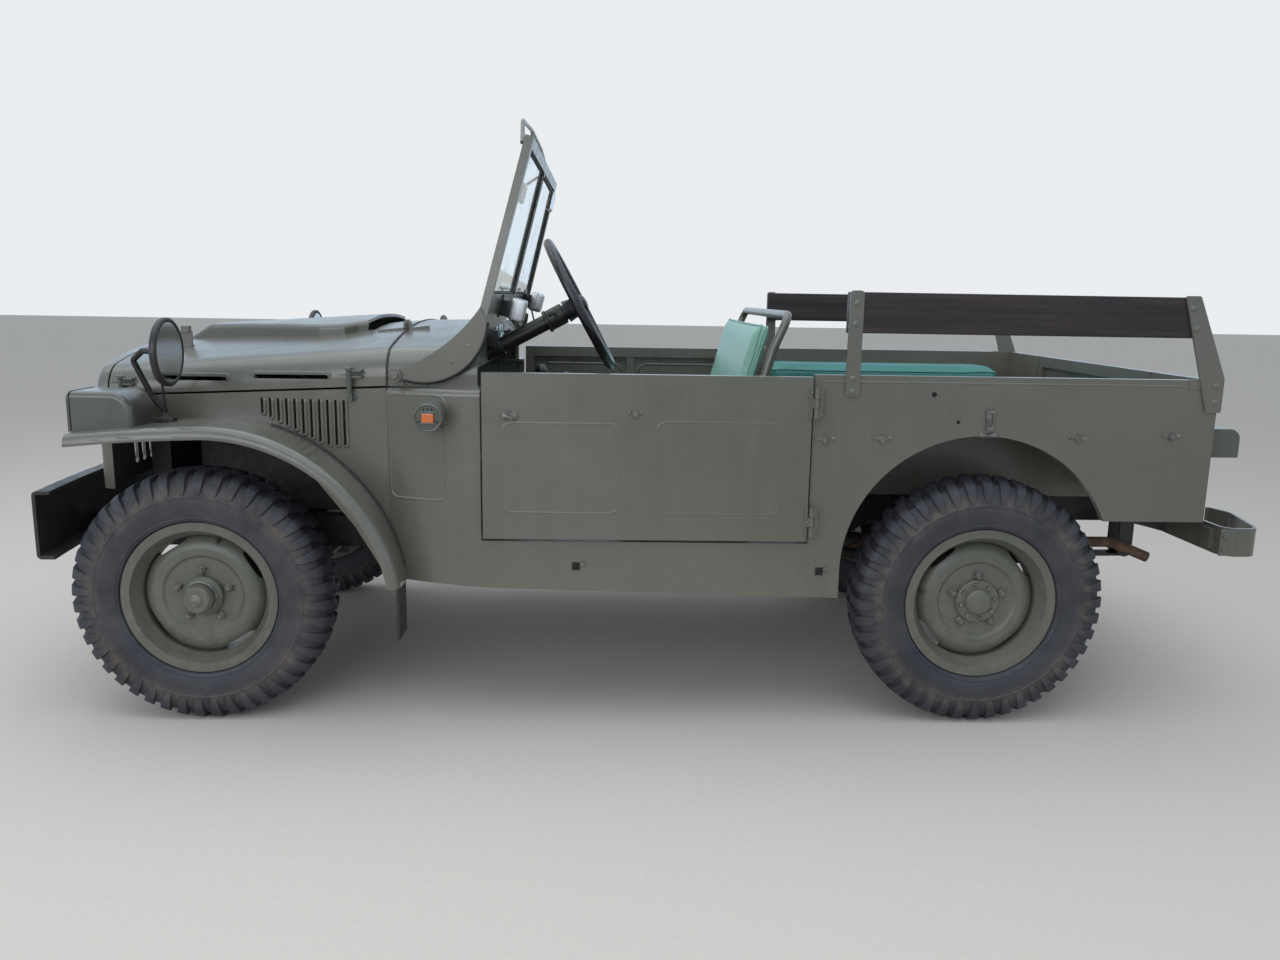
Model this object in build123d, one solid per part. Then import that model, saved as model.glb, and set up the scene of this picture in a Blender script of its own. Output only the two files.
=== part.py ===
from build123d import *
import math
import os

# An open four-wheel-drive army car: ladder frame, independent front wheels, rear axle on leaf springs.
# X points forward, Y to the car's left, Z up, in millimetres.
# The origin lies on the ground in the middle of the length.

os.makedirs("parts", exist_ok=True)

# Driving dimensions of the whole car
WHEELBASE = 2250
FRONT_OVERHANG = 490
REAR_OVERHANG = 900
TRACK = 1256
BODY_WIDTH = 1460
WING_PROUD = 55
TUB_DEPTH = 478
TYRE_RADIUS = 368
TYRE_WIDTH = 170

# Stations along the car
FRONT_AXLE = (WHEELBASE + REAR_OVERHANG - FRONT_OVERHANG) / 2
REAR_AXLE = FRONT_AXLE - WHEELBASE
FRONT_END = FRONT_AXLE + FRONT_OVERHANG
REAR_END = REAR_AXLE - REAR_OVERHANG
NOSE_FACE = FRONT_AXLE + 360
BONNET_FRONT = FRONT_AXLE + 300
BONNET_REAR = FRONT_AXLE - 535
DOOR_FRONT = FRONT_AXLE - 806
DASH_FACE = FRONT_AXLE - 790
DOOR_REAR = REAR_AXLE + 523
TUB_REAR = REAR_AXLE - 612

# Levels above the ground
WHEEL_CENTRE = TYRE_RADIUS
FLOOR_TOP = WHEEL_CENTRE + TYRE_RADIUS - 184
FRAME_TOP = FLOOR_TOP - 22
SILL_FRONT_LOW = FLOOR_TOP - 131
SILL_REAR_LOW = FLOOR_TOP - 160
LOAD_FLOOR_TOP = FLOOR_TOP + 100
REAR_SKIRT_LOW = LOAD_FLOOR_TOP - 27
RAIL_TOP = FLOOR_TOP + TUB_DEPTH
WING_CREST = WHEEL_CENTRE + TYRE_RADIUS + 134

# Sheet and wall thicknesses
SHEET = 10
PANEL = 12
WALL = 25
DOOR_THICKNESS = 30
DOOR_PROUD = 12

# Clearances
SEAM = 6
SEAT_FIT = 0.3
PIN_FIT = 0.4

SIDE_OUT = BODY_WIDTH / 2
SIDE_IN = SIDE_OUT - WALL
WING_OUT = SIDE_OUT + WING_PROUD
WHEEL_PLANE = TRACK / 2


def block(x0, x1, y0, y1, z0, z1):
    """A box given by its two corners along each axis."""
    return Pos((x0 + x1) / 2, (y0 + y1) / 2, (z0 + z1) / 2) * Box(x1 - x0, y1 - y0, z1 - z0)


def side_block(side, x0, x1, y0, y1, z0, z1):
    """A box on the left, or its mirror image on the right where side is -1."""
    low, high = sorted((side * y0, side * y1))
    return block(x0, x1, low, high, z0, z1)


def bar_y(x, z, radius, y0, y1):
    """A round bar across the car."""
    return Pos(x, (y0 + y1) / 2, z) * Rot(90, 0, 0) * Cylinder(radius, abs(y1 - y0))


def bar_x(y, z, radius, x0, x1):
    """A round bar along the car."""
    return Pos((x0 + x1) / 2, y, z) * Rot(0, 90, 0) * Cylinder(radius, x1 - x0)


def bar_z(x, y, radius, z0, z1):
    """An upright round bar."""
    return Pos(x, y, (z0 + z1) / 2) * Cylinder(radius, z1 - z0)


def side_plate(edges, y0, y1):
    """A plate whose outline is drawn in side view as (x, z) and which runs from y0 to y1."""
    face = make_face(Plane.XZ * edges)
    return Pos(0, (y0 + y1) / 2, 0) * extrude(face, (y1 - y0) / 2, both=True)


def plan_plate(edges, z0, z1):
    """A plate whose outline is drawn from above as (x, y) and which runs from z0 to z1."""
    return Pos(0, 0, z0) * extrude(make_face(edges), z1 - z0)


def polygon(points):
    """A closed outline of straight edges."""
    return Polyline(*points, close=True)


def mirrored(shape):
    """The same piece on the other side of the car."""
    return mirror(shape, about=Plane.XZ)


def both(shape):
    """A piece fused with its mirror image."""
    return shape + mirrored(shape)


def pipe_along(points, radius, bend):
    """A round pipe along straight runs with bends of one radius."""
    route = FilletPolyline(*points, radius=bend)
    return sweep(Plane(route @ 0, z_dir=route % 0) * Circle(radius), path=route)


def save(shape, name):
    """Write one node, whose solids stay apart if they don't touch."""
    export_step(shape, "parts/" + name + ".step")


def group(shapes):
    """Several separate solids in one node."""
    solids = []
    for shape in shapes:
        solids += shape.solids()
    return Compound(children=solids) if len(solids) > 1 else solids[0]


def save_pair(shape, name):
    """Write the left piece and its mirror image as two nodes."""
    save(shape, name + "_left")
    save(mirrored(shape), name + "_right")


def save_both(shape, name):
    """Write the left piece and its mirror image as one node."""
    save(group([shape, mirrored(shape)]), name)


# Frame
RAIL_HALF_GAP = 270
RAIL_BREADTH = 60
RAIL_OUT = RAIL_HALF_GAP + RAIL_BREADTH
RAIL_DEPTH = 100
RAISED_TOP = LOAD_FLOOR_TOP - PANEL
KICK_START = REAR_AXLE + 450
KICK_END = REAR_AXLE + 250
FRAME_NOSE = FRONT_AXLE + 380
FRAME_TAIL = TUB_REAR - 204
HORN_TOP = REAR_SKIRT_LOW - 91
HORN_LOW = REAR_SKIRT_LOW - 147
BOX_REAR = FRONT_AXLE - 1130
BOX_FRONT = FRONT_AXLE - 860


def frame_rail():
    """Left side member with its step up over the rear axle and its tail curved down as a horn."""
    low = FRAME_TOP - RAIL_DEPTH
    raised_low = RAISED_TOP - RAIL_DEPTH
    upper = ThreePointArc(
        (TUB_REAR + 40, REAR_SKIRT_LOW - SEAM), (TUB_REAR - 78, REAR_SKIRT_LOW - 42), (FRAME_TAIL, HORN_TOP))
    lower = ThreePointArc((FRAME_TAIL, HORN_LOW), (TUB_REAR - 68, HORN_LOW + 40), (TUB_REAR + 32, raised_low))
    return side_plate(
        Curve() + [
            Polyline((TUB_REAR + 32, raised_low), (KICK_END - 30, raised_low), (KICK_START - 30, low),
                     (FRAME_NOSE, low), (FRAME_NOSE, FRAME_TOP), (KICK_START, FRAME_TOP),
                     (KICK_END, RAISED_TOP), (TUB_REAR + 50, RAISED_TOP), upper @ 0),
            upper, Line(upper @ 1, lower @ 0), lower],
        RAIL_HALF_GAP, RAIL_OUT)


# Cross members: x, bottom, height, breadth along the car
CROSS_MEMBERS = (
    (FRAME_NOSE - 40, FRAME_TOP - 90, 80, 60),
    (FRONT_AXLE - 180, FRAME_TOP - 75, 50, 70),
    (BOX_REAR - 35, FRAME_TOP - 95, 60, 70),
    (REAR_AXLE + 680, FRAME_TOP - 95, 85, 60),
    (REAR_AXLE - 330, RAISED_TOP - 90, 80, 60),
    (TUB_REAR + 70, RAISED_TOP - 90, 80, 60),
)


def build_frame():
    """Two side members joined by cross members, with the body outriggers."""
    shape = both(frame_rail())
    reach = RAIL_HALF_GAP + 10
    for x, bottom, height, breadth in CROSS_MEMBERS:
        shape += block(x - breadth / 2, x + breadth / 2, -reach, reach, bottom, bottom + height)
    low, high = FRAME_TOP - 55, FLOOR_TOP - PANEL
    for side in (-1, 1):
        for x in (DOOR_FRONT - 30, DOOR_REAR + 200):
            shape += side_block(side, x - 25, x + 25, RAIL_OUT - 10, SIDE_IN, low, high)
    return shape


# Rear springs and axle
SPRING_PLANE = WHEEL_PLANE - 188
SPRING_EYE_Z = WHEEL_CENTRE + 110
SPRING_HALF = 530
SPRING_FRONT = REAR_AXLE + SPRING_HALF
SPRING_BACK = REAR_AXLE - SPRING_HALF
AXLE_TUBE = 40
LEAF = 8
LEAF_COUNT = 5
LEAF_STEP = 98
LEAF_WIDTH = 50
EYE_RADIUS = 22
SHACKLE_PIN = 9
SPRING_SEAT_Z = WHEEL_CENTRE + AXLE_TUBE + 12
HANGER_CHEEK = 8
HANGER_PLAY = 3
DRUM_RADIUS = 150
DRUM_PLATE = 6
DRUM_FACE = WHEEL_PLANE - 62
STUB_RADIUS = 26
STUB_REACH = 18


def leaf_spring():
    """Left leaf pack lying over the axle, with rolled eyes on its main leaf."""
    y0 = SPRING_PLANE - LEAF_WIDTH / 2
    y1 = SPRING_PLANE + LEAF_WIDTH / 2
    full_rise = SPRING_EYE_Z - EYE_RADIUS - SPRING_SEAT_Z - (LEAF_COUNT - 1) * LEAF
    shape = None
    for number in range(LEAF_COUNT):
        half = SPRING_HALF - LEAF_STEP * (LEAF_COUNT - 1 - number)
        z = SPRING_SEAT_Z + number * LEAF
        end = z + full_rise * (half / SPRING_HALF) ** 2
        front, back = REAR_AXLE + half, REAR_AXLE - half
        lower = ThreePointArc((back, end), (REAR_AXLE, z), (front, end))
        upper = ThreePointArc((front, end + LEAF), (REAR_AXLE, z + LEAF), (back, end + LEAF))
        leaf = side_plate(
            Curve() + [lower, Line(lower @ 1, upper @ 0), upper, Line(upper @ 1, lower @ 0)], y0, y1)
        shape = leaf if shape is None else shape + leaf
    for x in (SPRING_FRONT, SPRING_BACK):
        shape += bar_y(x, SPRING_EYE_Z, EYE_RADIUS, y0, y1)
    for x in (SPRING_FRONT, SPRING_BACK):
        shape -= bar_y(x, SPRING_EYE_Z, SHACKLE_PIN + PIN_FIT, y0 - 1, y1 + 1)
    return shape


def spring_hangers():
    """Left spring brackets under the frame, each a pin carried by two cheeks."""
    shape = None
    y_in = SPRING_PLANE - LEAF_WIDTH / 2 - HANGER_PLAY
    y_out = SPRING_PLANE + LEAF_WIDTH / 2 + HANGER_PLAY
    for x, top in ((SPRING_FRONT, FRAME_TOP), (SPRING_BACK, RAISED_TOP - 60)):
        piece = block(x - 30, x + 30, RAIL_OUT, y_out + HANGER_CHEEK, top - PANEL, top)
        for y0 in (y_in - HANGER_CHEEK, y_out):
            piece += block(x - 22, x + 22, y0, y0 + HANGER_CHEEK, SPRING_EYE_Z, top - SEAM)
            piece += bar_y(x, SPRING_EYE_Z, 22, y0, y0 + HANGER_CHEEK)
        piece += bar_y(x, SPRING_EYE_Z, SHACKLE_PIN, y_in - 14, y_out + 14)
        shape = piece if shape is None else shape + piece
    return shape


def rear_axle():
    """Axle tube with its round gear housing, brake back plates, stub axles and spring pads."""
    shape = bar_y(REAR_AXLE, WHEEL_CENTRE, AXLE_TUBE, -DRUM_FACE, DRUM_FACE)
    shape += Pos(REAR_AXLE, 0, WHEEL_CENTRE) * Sphere(125)
    shape += bar_x(0, WHEEL_CENTRE + 20, 55, REAR_AXLE + 80, REAR_AXLE + 190)
    for side in (-1, 1):
        plate, tip = side * DRUM_FACE, side * (WHEEL_PLANE + STUB_REACH)
        shape += bar_y(REAR_AXLE, WHEEL_CENTRE, DRUM_RADIUS, plate - side * DRUM_PLATE, plate)
        shape += bar_y(REAR_AXLE, WHEEL_CENTRE, STUB_RADIUS, plate - side, tip)
        shape += side_block(side, REAR_AXLE - 60, REAR_AXLE + 60, SPRING_PLANE - 30, SPRING_PLANE + 30,
                            WHEEL_CENTRE, SPRING_SEAT_Z)
    return shape


# Front suspension
KINGPIN_Y = WHEEL_PLANE - 100
KNUCKLE_LOW = WHEEL_CENTRE - 108
KNUCKLE_HIGH = WHEEL_CENTRE + 100
KNUCKLE_BOSS = 26
WISHBONE_ROOT = RAIL_OUT + 4
LOWER_ARM = 24
UPPER_ARM = 22
HALF_SHAFT = 17
SHAFT_Y = -115
ARM_LENGTH = 150
ARM_THICKNESS = 12
ARM_Z = WHEEL_CENTRE - 50
ARM_END = (FRONT_AXLE - ARM_LENGTH, KINGPIN_Y - 45)


def wishbone(z0, z1, spread):
    """Left wishbone between the frame and the kingpin, flat and forked."""
    outer = KINGPIN_Y
    root = WISHBONE_ROOT
    half = 24
    shape = plan_plate(polygon([
        (FRONT_AXLE - half, outer), (FRONT_AXLE - spread - half, root), (FRONT_AXLE - spread + half, root),
        (FRONT_AXLE, outer - 90), (FRONT_AXLE + spread - half, root), (FRONT_AXLE + spread + half, root),
        (FRONT_AXLE + half, outer),
    ]), z0, z1)
    return shape + bar_z(FRONT_AXLE, outer, KNUCKLE_BOSS, z0, z1)


def front_suspension():
    """Both wishbones of the left wheel and the upright spring tower on the frame."""
    low_seat = KNUCKLE_LOW - SEAT_FIT
    high_seat = KNUCKLE_HIGH + SEAT_FIT
    lower = wishbone(low_seat - LOWER_ARM, low_seat, 130)
    upper = wishbone(high_seat, high_seat + UPPER_ARM, 90)
    tower = bar_z(FRONT_AXLE + 75, WISHBONE_ROOT + 36, 36, low_seat, KNUCKLE_HIGH + 180)
    foot = block(FRONT_AXLE - 125, FRONT_AXLE + 125, RAIL_OUT, WISHBONE_ROOT + 20,
                 low_seat - LOWER_ARM, FRAME_TOP)
    shape = foot + lower + upper + tower
    return shape - bar_y(FRONT_AXLE, WHEEL_CENTRE, HALF_SHAFT + 8, RAIL_OUT - 10, WISHBONE_ROOT + 40)


def knuckle():
    """Left steering knuckle: kingpin barrel, axle bore, brake back plate, stub axle and steering arm."""
    shape = bar_z(FRONT_AXLE, KINGPIN_Y, KNUCKLE_BOSS, KNUCKLE_LOW, KNUCKLE_HIGH)
    shape += bar_y(FRONT_AXLE, WHEEL_CENTRE, 58, KINGPIN_Y - 34, DRUM_FACE)
    shape += bar_y(FRONT_AXLE, WHEEL_CENTRE, DRUM_RADIUS, DRUM_FACE - DRUM_PLATE, DRUM_FACE)
    arm_x, arm_y = ARM_END
    shape += plan_plate(polygon([
        (FRONT_AXLE - 8, KINGPIN_Y + 18), (FRONT_AXLE - 8, KINGPIN_Y - 24),
        (arm_x, arm_y - 14), (arm_x, arm_y + 14),
    ]), ARM_Z - ARM_THICKNESS, ARM_Z)
    shape += bar_z(arm_x, arm_y, 18, ARM_Z - ARM_THICKNESS, ARM_Z)
    shape -= bar_y(FRONT_AXLE, WHEEL_CENTRE, 42, KINGPIN_Y - 36, DRUM_FACE - 4)
    return shape + bar_y(FRONT_AXLE, WHEEL_CENTRE, STUB_RADIUS, DRUM_FACE - 4, WHEEL_PLANE + STUB_REACH)


def front_drive():
    """Front gear housing on the frame with a half shaft to each knuckle."""
    shape = Pos(FRONT_AXLE, -60, WHEEL_CENTRE + 20) * Sphere(105)
    shape += bar_x(SHAFT_Y, WHEEL_CENTRE + 30, 45, FRONT_AXLE - 190, FRONT_AXLE)
    shape += block(FRONT_AXLE - 50, FRONT_AXLE + 50, -RAIL_HALF_GAP, RAIL_HALF_GAP,
                   WHEEL_CENTRE + 92, FRAME_TOP - 30)
    for side in (-1, 1):
        shape += bar_y(FRONT_AXLE, WHEEL_CENTRE, HALF_SHAFT, 0, side * KINGPIN_Y)
        shape += Pos(FRONT_AXLE, side * KINGPIN_Y, WHEEL_CENTRE) * Sphere(30)
    return shape


def track_rod():
    """Rod between the steering arms, with an eye under each arm end."""
    x, y = ARM_END
    top = ARM_Z - ARM_THICKNESS - SEAT_FIT
    shape = bar_y(x, top - 13, 11, -y, y)
    for side in (-1, 1):
        shape += bar_z(x, side * y, 20, top - 26, top)
    return shape


# Engine, drive and exhaust
ENGINE_REAR = FRONT_AXLE - 380
PIPE = 22
TAIL_PIPE = 16
MUFFLER = 54
MUFFLER_Y = RAIL_OUT + MUFFLER + 2
MUFFLER_Z = WHEEL_CENTRE + 32
TAIL_IN = RAIL_OUT + PIPE + 20
TAIL_OUT = SPRING_PLANE + 72
TAIL_Z = WHEEL_CENTRE + 144


def engine():
    """Engine block with its clutch housing, standing between the side members."""
    return block(ENGINE_REAR, FRONT_AXLE + 190, -150, 150, FRAME_TOP - 20, RAIL_TOP - 130)


def gearbox():
    """Gearbox and transfer box under the floor."""
    shape = bar_x(0, FRAME_TOP - 78, 78, BOX_FRONT, ENGINE_REAR)
    return shape + block(BOX_REAR, BOX_FRONT, -150, 130, WHEEL_CENTRE + 2, FRAME_TOP - 10)


def propshafts():
    """Shafts from the transfer box to the front gear housing and to the rear axle."""
    front = bar_x(SHAFT_Y, WHEEL_CENTRE + 30, 22, BOX_FRONT, FRONT_AXLE - 190)
    rear = bar_x(0, WHEEL_CENTRE + 20, 26, REAR_AXLE + 190, BOX_REAR)
    return [front, rear]


def exhaust():
    """Down pipe from the engine, muffler under the floor and the tail pipe behind the left wheel."""
    front = FRONT_AXLE - 1000
    back = REAR_AXLE + 600
    high = FRAME_TOP + 170
    down = pipe_along([
        (FRONT_AXLE - 300, 150, high), (FRONT_AXLE - 300, 225, high), (FRONT_AXLE - 460, 225, MUFFLER_Z - 10),
        (FRONT_AXLE - 820, MUFFLER_Y, MUFFLER_Z - 10), (front, MUFFLER_Y, MUFFLER_Z)], PIPE, 32)
    muffler = bar_x(MUFFLER_Y, MUFFLER_Z, MUFFLER, back, front)
    tail = pipe_along([
        (back, TAIL_IN, MUFFLER_Z), (REAR_AXLE + 380, TAIL_IN, MUFFLER_Z), (REAR_AXLE + 200, TAIL_IN, TAIL_Z),
        (REAR_AXLE - 230, TAIL_IN, TAIL_Z), (REAR_AXLE - 360, TAIL_OUT, TAIL_Z),
        (REAR_AXLE - 465, TAIL_OUT, TAIL_Z), (REAR_AXLE - 575, TAIL_OUT + 12, TAIL_Z - 44)], TAIL_PIPE, 40)
    tail -= Pos(REAR_AXLE - 575, TAIL_OUT + 12, TAIL_Z - 44) * Sphere(TAIL_PIPE - 3)
    return down + muffler + tail


# Wheels
RIM_RADIUS = 203
RIM_FLANGE = 221
RIM_WELL = RIM_RADIUS - 27
TYRE_BEAD = RIM_RADIUS + SEAT_FIT
BEAD_HALF = TYRE_WIDTH / 2 - 20 - SEAT_FIT
BOLT_CIRCLE = 76
BOLT_COUNT = 5
BOLT_HEAD = 10
BOLT_TIP = 47
DISC = 8
DISC_FACE = 34
DISC_CREST = 40
FACE_RADIUS = 110
CREST_START = 118
CREST_END = 136
FALL_MIDDLE = 161
WINDOW_COUNT = 4
WINDOW_DEPTH = 44
WINDOW_CHORD = 112
WINDOW_ROUND = 20
BRAKE_DRUM = 138
DRUM_BACK = 54
DRUM_FRONT = 14


def tyre(y):
    """Tyre with swelling sides and rounded shoulders, centred on a plane across its own axle."""
    half = TYRE_WIDTH / 2
    side = ThreePointArc(
        (RIM_FLANGE + 4, half - 10), (RIM_FLANGE + 40, half - 1), (TYRE_RADIUS - 62, half - 3))
    shoulder = ThreePointArc(side @ 1, (TYRE_RADIUS - 22, half - 12), (TYRE_RADIUS - 4, half - 30))
    tread = ThreePointArc(shoulder @ 1, (TYRE_RADIUS, 0), (TYRE_RADIUS - 4, 30 - half))
    upper = [Line((TYRE_BEAD, BEAD_HALF), (RIM_FLANGE + 1, BEAD_HALF)),
             Line((RIM_FLANGE + 1, BEAD_HALF), side @ 0), side, shoulder]
    lower = [mirror(edge, about=Plane.XZ) for edge in upper]
    bead = Line((TYRE_BEAD, BEAD_HALF), (TYRE_BEAD, -BEAD_HALF))
    ring = revolve(make_face(Curve() + upper + lower + [tread, bead]), axis=Axis.Y)
    return Pos(0, y, WHEEL_CENTRE) * ring


def rim():
    """Well rim with its two flanges."""
    flange = TYRE_WIDTH / 2 - 14
    seat = flange - 6
    section = polygon([
        (RIM_RADIUS, -seat), (RIM_FLANGE, -seat), (RIM_FLANGE, -flange), (RIM_RADIUS - 7, -flange),
        (RIM_WELL, -30), (RIM_WELL, 30), (RIM_RADIUS - 7, flange), (RIM_FLANGE, flange),
        (RIM_FLANGE, seat), (RIM_RADIUS, seat), (RIM_WELL + 7, 34), (RIM_WELL + 7, -34)])
    return revolve(make_face(section), axis=Axis.Y)


def wheel_disc(side, turn):
    """Bowl-shaped disc: a flat middle, a raised ring, a rounded fall to the rim and four windows there."""
    face = DISC_FACE * side
    crest = DISC_CREST * side
    drop = DISC * side
    root = RIM_WELL + 2
    fall = ThreePointArc((CREST_END, crest), (FALL_MIDDLE, 0.72 * crest), (root, 0))
    fall_back = ThreePointArc((root, -drop), (FALL_MIDDLE, 0.72 * crest - drop), (CREST_END, crest - drop))
    profile = Curve() + [
        Polyline((0, face), (FACE_RADIUS, face), (CREST_START, crest), fall @ 0), fall,
        Line(fall @ 1, fall_back @ 0), fall_back,
        Polyline(fall_back @ 1, (CREST_START, crest - drop), (FACE_RADIUS, face - drop),
                 (0, face - drop), (0, face))]
    disc = revolve(make_face(profile), axis=Axis.Y)
    cutter = extrude(Plane.XZ * RectangleRounded(WINDOW_DEPTH, WINDOW_CHORD, WINDOW_ROUND), 60, both=True)
    for number in range(WINDOW_COUNT):
        disc -= Rot(0, -turn - 360 / WINDOW_COUNT * number, 0) * Pos(RIM_WELL + 5, 0, 0) * cutter
    return disc


# Hub forms seen from outside, as radius and distance from the wheel plane
FRONT_HUB = ((58, 34), (58, 50), (50, 58), (44, 60), (44, 84), (40, 92), (34, 98))
REAR_HUB = ((64, 34), (64, 46), (61, 49), (38, 49), (38, 58), (32, 64), (12, 67))


def wheel(y, side, hub, turn):
    """Steel disc wheel with its rim, hub, brake drum and wheel bolts."""
    outer = [(radius, side * reach) for radius, reach in hub]
    outline = [(0, -DRUM_BACK * side), (BRAKE_DRUM, -DRUM_BACK * side), (BRAKE_DRUM, DRUM_FRONT * side),
               (70, 20 * side), (hub[0][0], 22 * side)]
    core = revolve(make_face(polygon(outline + outer + [(0, outer[-1][1])])), axis=Axis.Y)
    shape = rim() + wheel_disc(side, turn) + core
    for number in range(BOLT_COUNT):
        angle = 2 * math.pi * number / BOLT_COUNT
        x, z = BOLT_CIRCLE * math.sin(angle), BOLT_CIRCLE * math.cos(angle)
        shape += bar_y(x, z, BOLT_HEAD, side * (DISC_FACE - 4), side * BOLT_TIP)
    shape -= bar_y(0, 0, STUB_RADIUS + PIN_FIT, -side * (DRUM_BACK + 2), side * (STUB_REACH + 2))
    return Pos(0, y, WHEEL_CENTRE) * shape


# Body sides, floor and wheel boxes
BULKHEAD = BONNET_REAR - 14
FLOOR_STEP = REAR_AXLE + 470
WHEEL_BOX_IN = WHEEL_PLANE - TYRE_WIDTH / 2 - 113
WHEEL_BOX_TOP = WHEEL_CENTRE + TYRE_RADIUS + 169
WHEEL_BOX_FRONT = REAR_AXLE + 480
WHEEL_BOX_BACK = REAR_AXLE - 470
ARCH_X = REAR_AXLE + 38
ARCH_Z = WHEEL_CENTRE + 107
ARCH_RADIUS = TYRE_RADIUS + 22
WING_TIP = FRONT_AXLE + 300
WING_FOOT = FRONT_AXLE - 585


def sill_low(x):
    """Lower edge of the body side, which drops gently from the front wing to the rear arch."""
    front, rear = WING_FOOT, ARCH_X + ARCH_RADIUS
    share = (front - x) / (front - rear)
    return SILL_FRONT_LOW + share * (SILL_REAR_LOW - SILL_FRONT_LOW)


def body_floor():
    """Front floor, step and load floor, with the openings of the wheel boxes."""
    shape = block(FLOOR_STEP, DOOR_FRONT, -SIDE_IN, SIDE_IN, FLOOR_TOP - PANEL, FLOOR_TOP)
    toe = block(DOOR_FRONT, BULKHEAD, -SIDE_IN, SIDE_IN, FLOOR_TOP - PANEL, FLOOR_TOP)
    shape += toe & both(flank_solid(PANEL, 0, RAIL_TOP))
    shape += block(FLOOR_STEP - PANEL, FLOOR_STEP, -SIDE_IN, SIDE_IN, FLOOR_TOP - PANEL, LOAD_FLOOR_TOP)
    shape += block(TUB_REAR + WALL, FLOOR_STEP, -SIDE_IN, SIDE_IN, LOAD_FLOOR_TOP - PANEL, LOAD_FLOOR_TOP)
    for side in (-1, 1):
        shape -= side_block(side, WHEEL_BOX_BACK + SHEET, WHEEL_BOX_FRONT - SHEET, WHEEL_BOX_IN + SHEET,
                            SIDE_IN + 1, FLOOR_TOP - 2 * PANEL, LOAD_FLOOR_TOP + 1)
    return shape


def wheel_box():
    """Left wheel box, open below and on the outside, with the bench top."""
    outer = block(WHEEL_BOX_BACK, WHEEL_BOX_FRONT, WHEEL_BOX_IN, SIDE_IN, LOAD_FLOOR_TOP, WHEEL_BOX_TOP)
    inner = block(WHEEL_BOX_BACK + SHEET, WHEEL_BOX_FRONT - SHEET, WHEEL_BOX_IN + SHEET, SIDE_IN + 1,
                  LOAD_FLOOR_TOP - 1, WHEEL_BOX_TOP - SHEET)
    return outer - inner


def rear_side():
    """Left rear side panel with its wheel arch."""
    shape = side_plate(
        polygon([
            (DOOR_REAR, sill_low(DOOR_REAR)), (DOOR_REAR, RAIL_TOP), (TUB_REAR, RAIL_TOP),
            (TUB_REAR, REAR_SKIRT_LOW), (ARCH_X - ARCH_RADIUS + 20, REAR_SKIRT_LOW), (ARCH_X, REAR_SKIRT_LOW),
            (ARCH_X + ARCH_RADIUS, ARCH_Z), (ARCH_X + ARCH_RADIUS, SILL_REAR_LOW)]),
        SIDE_IN, SIDE_OUT)
    return shape - bar_y(ARCH_X, ARCH_Z, ARCH_RADIUS, SIDE_IN - 1, SIDE_OUT + 1)


# Front of the body
FLANK_MIDDLE = SIDE_OUT - 80
FLANK_NOSE = SIDE_OUT - 233
FLANK_SLOPE = (FLANK_MIDDLE - FLANK_NOSE) / (NOSE_FACE - BONNET_REAR)
FLARE_VIA = (DOOR_FRONT + 130, SIDE_OUT - 30)
COWL_SEAM = RAIL_TOP - 54
NOSE_SEAM = RAIL_TOP - 106
COWL_CROWN = RAIL_TOP + 120
REAR_CROWN = RAIL_TOP + 113
NOSE_CROWN = RAIL_TOP + 30
# Crown radii of the top at half widths of 650 and 497; a wider body keeps the height of its shoulders
REAR_ROUND = 2800 * (FLANK_MIDDLE / 650) ** 2
NOSE_ROUND = 1850 * (FLANK_NOSE / 497) ** 2
SHOULDER_RADIUS = 82
LEDGE_RADIUS = 20


def along(x, rear, nose):
    """A value that changes evenly from the rear edge of the bonnet to the face of the nose."""
    return rear + (x - BONNET_REAR) / (NOSE_FACE - BONNET_REAR) * (nose - rear)


def flank_y(x):
    """Half width of the body at the engine."""
    return along(x, FLANK_MIDDLE, FLANK_NOSE)


def seam_z(x):
    """Lower edge of the bonnet."""
    return along(x, COWL_SEAM, NOSE_SEAM)


def skin_z(x, y):
    """Height of the bonnet's outer skin, away from its shoulders."""
    return along(x, REAR_CROWN, NOSE_CROWN) - y * y / (2 * along(x, REAR_ROUND, NOSE_ROUND))


def front_section(x, half, low, crown, round_radius, inset=0):
    """Cross section of the front body: upright sides, round shoulders and a crowned top."""
    half, crown = half - inset, crown - inset
    edge = crown - half * half / (2 * round_radius)
    top = ThreePointArc((-half, edge), (0, crown), (half, edge))
    sides = Polyline((half, edge), (half, low), (-half, low), (-half, edge))
    face = make_face(Curve() + [top, sides])
    shoulders = [v for v in face.vertices() if v.Y > edge - 1]
    face = fillet(shoulders, SHOULDER_RADIUS - inset)
    return Plane(origin=(x, 0, 0), x_dir=(0, 1, 0), z_dir=(1, 0, 0)) * face


def bonnet_section(x, low, inset=0):
    """Cross section through the bonnet or the nose."""
    return front_section(x, flank_y(x), low, along(x, REAR_CROWN, NOSE_CROWN),
                         along(x, REAR_ROUND, NOSE_ROUND), inset)


def flank_outline(inset):
    """Everything inside the body's outer line between the nose and the door, seen from above."""
    ahead = NOSE_FACE + 60
    nose = (ahead, flank_y(ahead) - inset)
    middle = (BONNET_REAR, FLANK_MIDDLE - inset)
    rear = (DOOR_FRONT, SIDE_OUT - inset)
    flare = ThreePointArc(middle, (FLARE_VIA[0], FLARE_VIA[1] - inset), rear)
    return Curve() + [Line(nose, middle), flare, Polyline(rear, (DOOR_FRONT, 0), (ahead, 0), nose)]


def flank_solid(inset, z0, z1):
    """The space inside the body's outer line."""
    return plan_plate(flank_outline(inset), z0, z1)


def flank_plane(x, z):
    """Plane on the engine side, drawn rearwards and upwards, facing outwards."""
    return Plane(origin=(x, flank_y(x), z), x_dir=(-1, FLANK_SLOPE, 0), z_dir=(FLANK_SLOPE, 1, 0))


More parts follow.
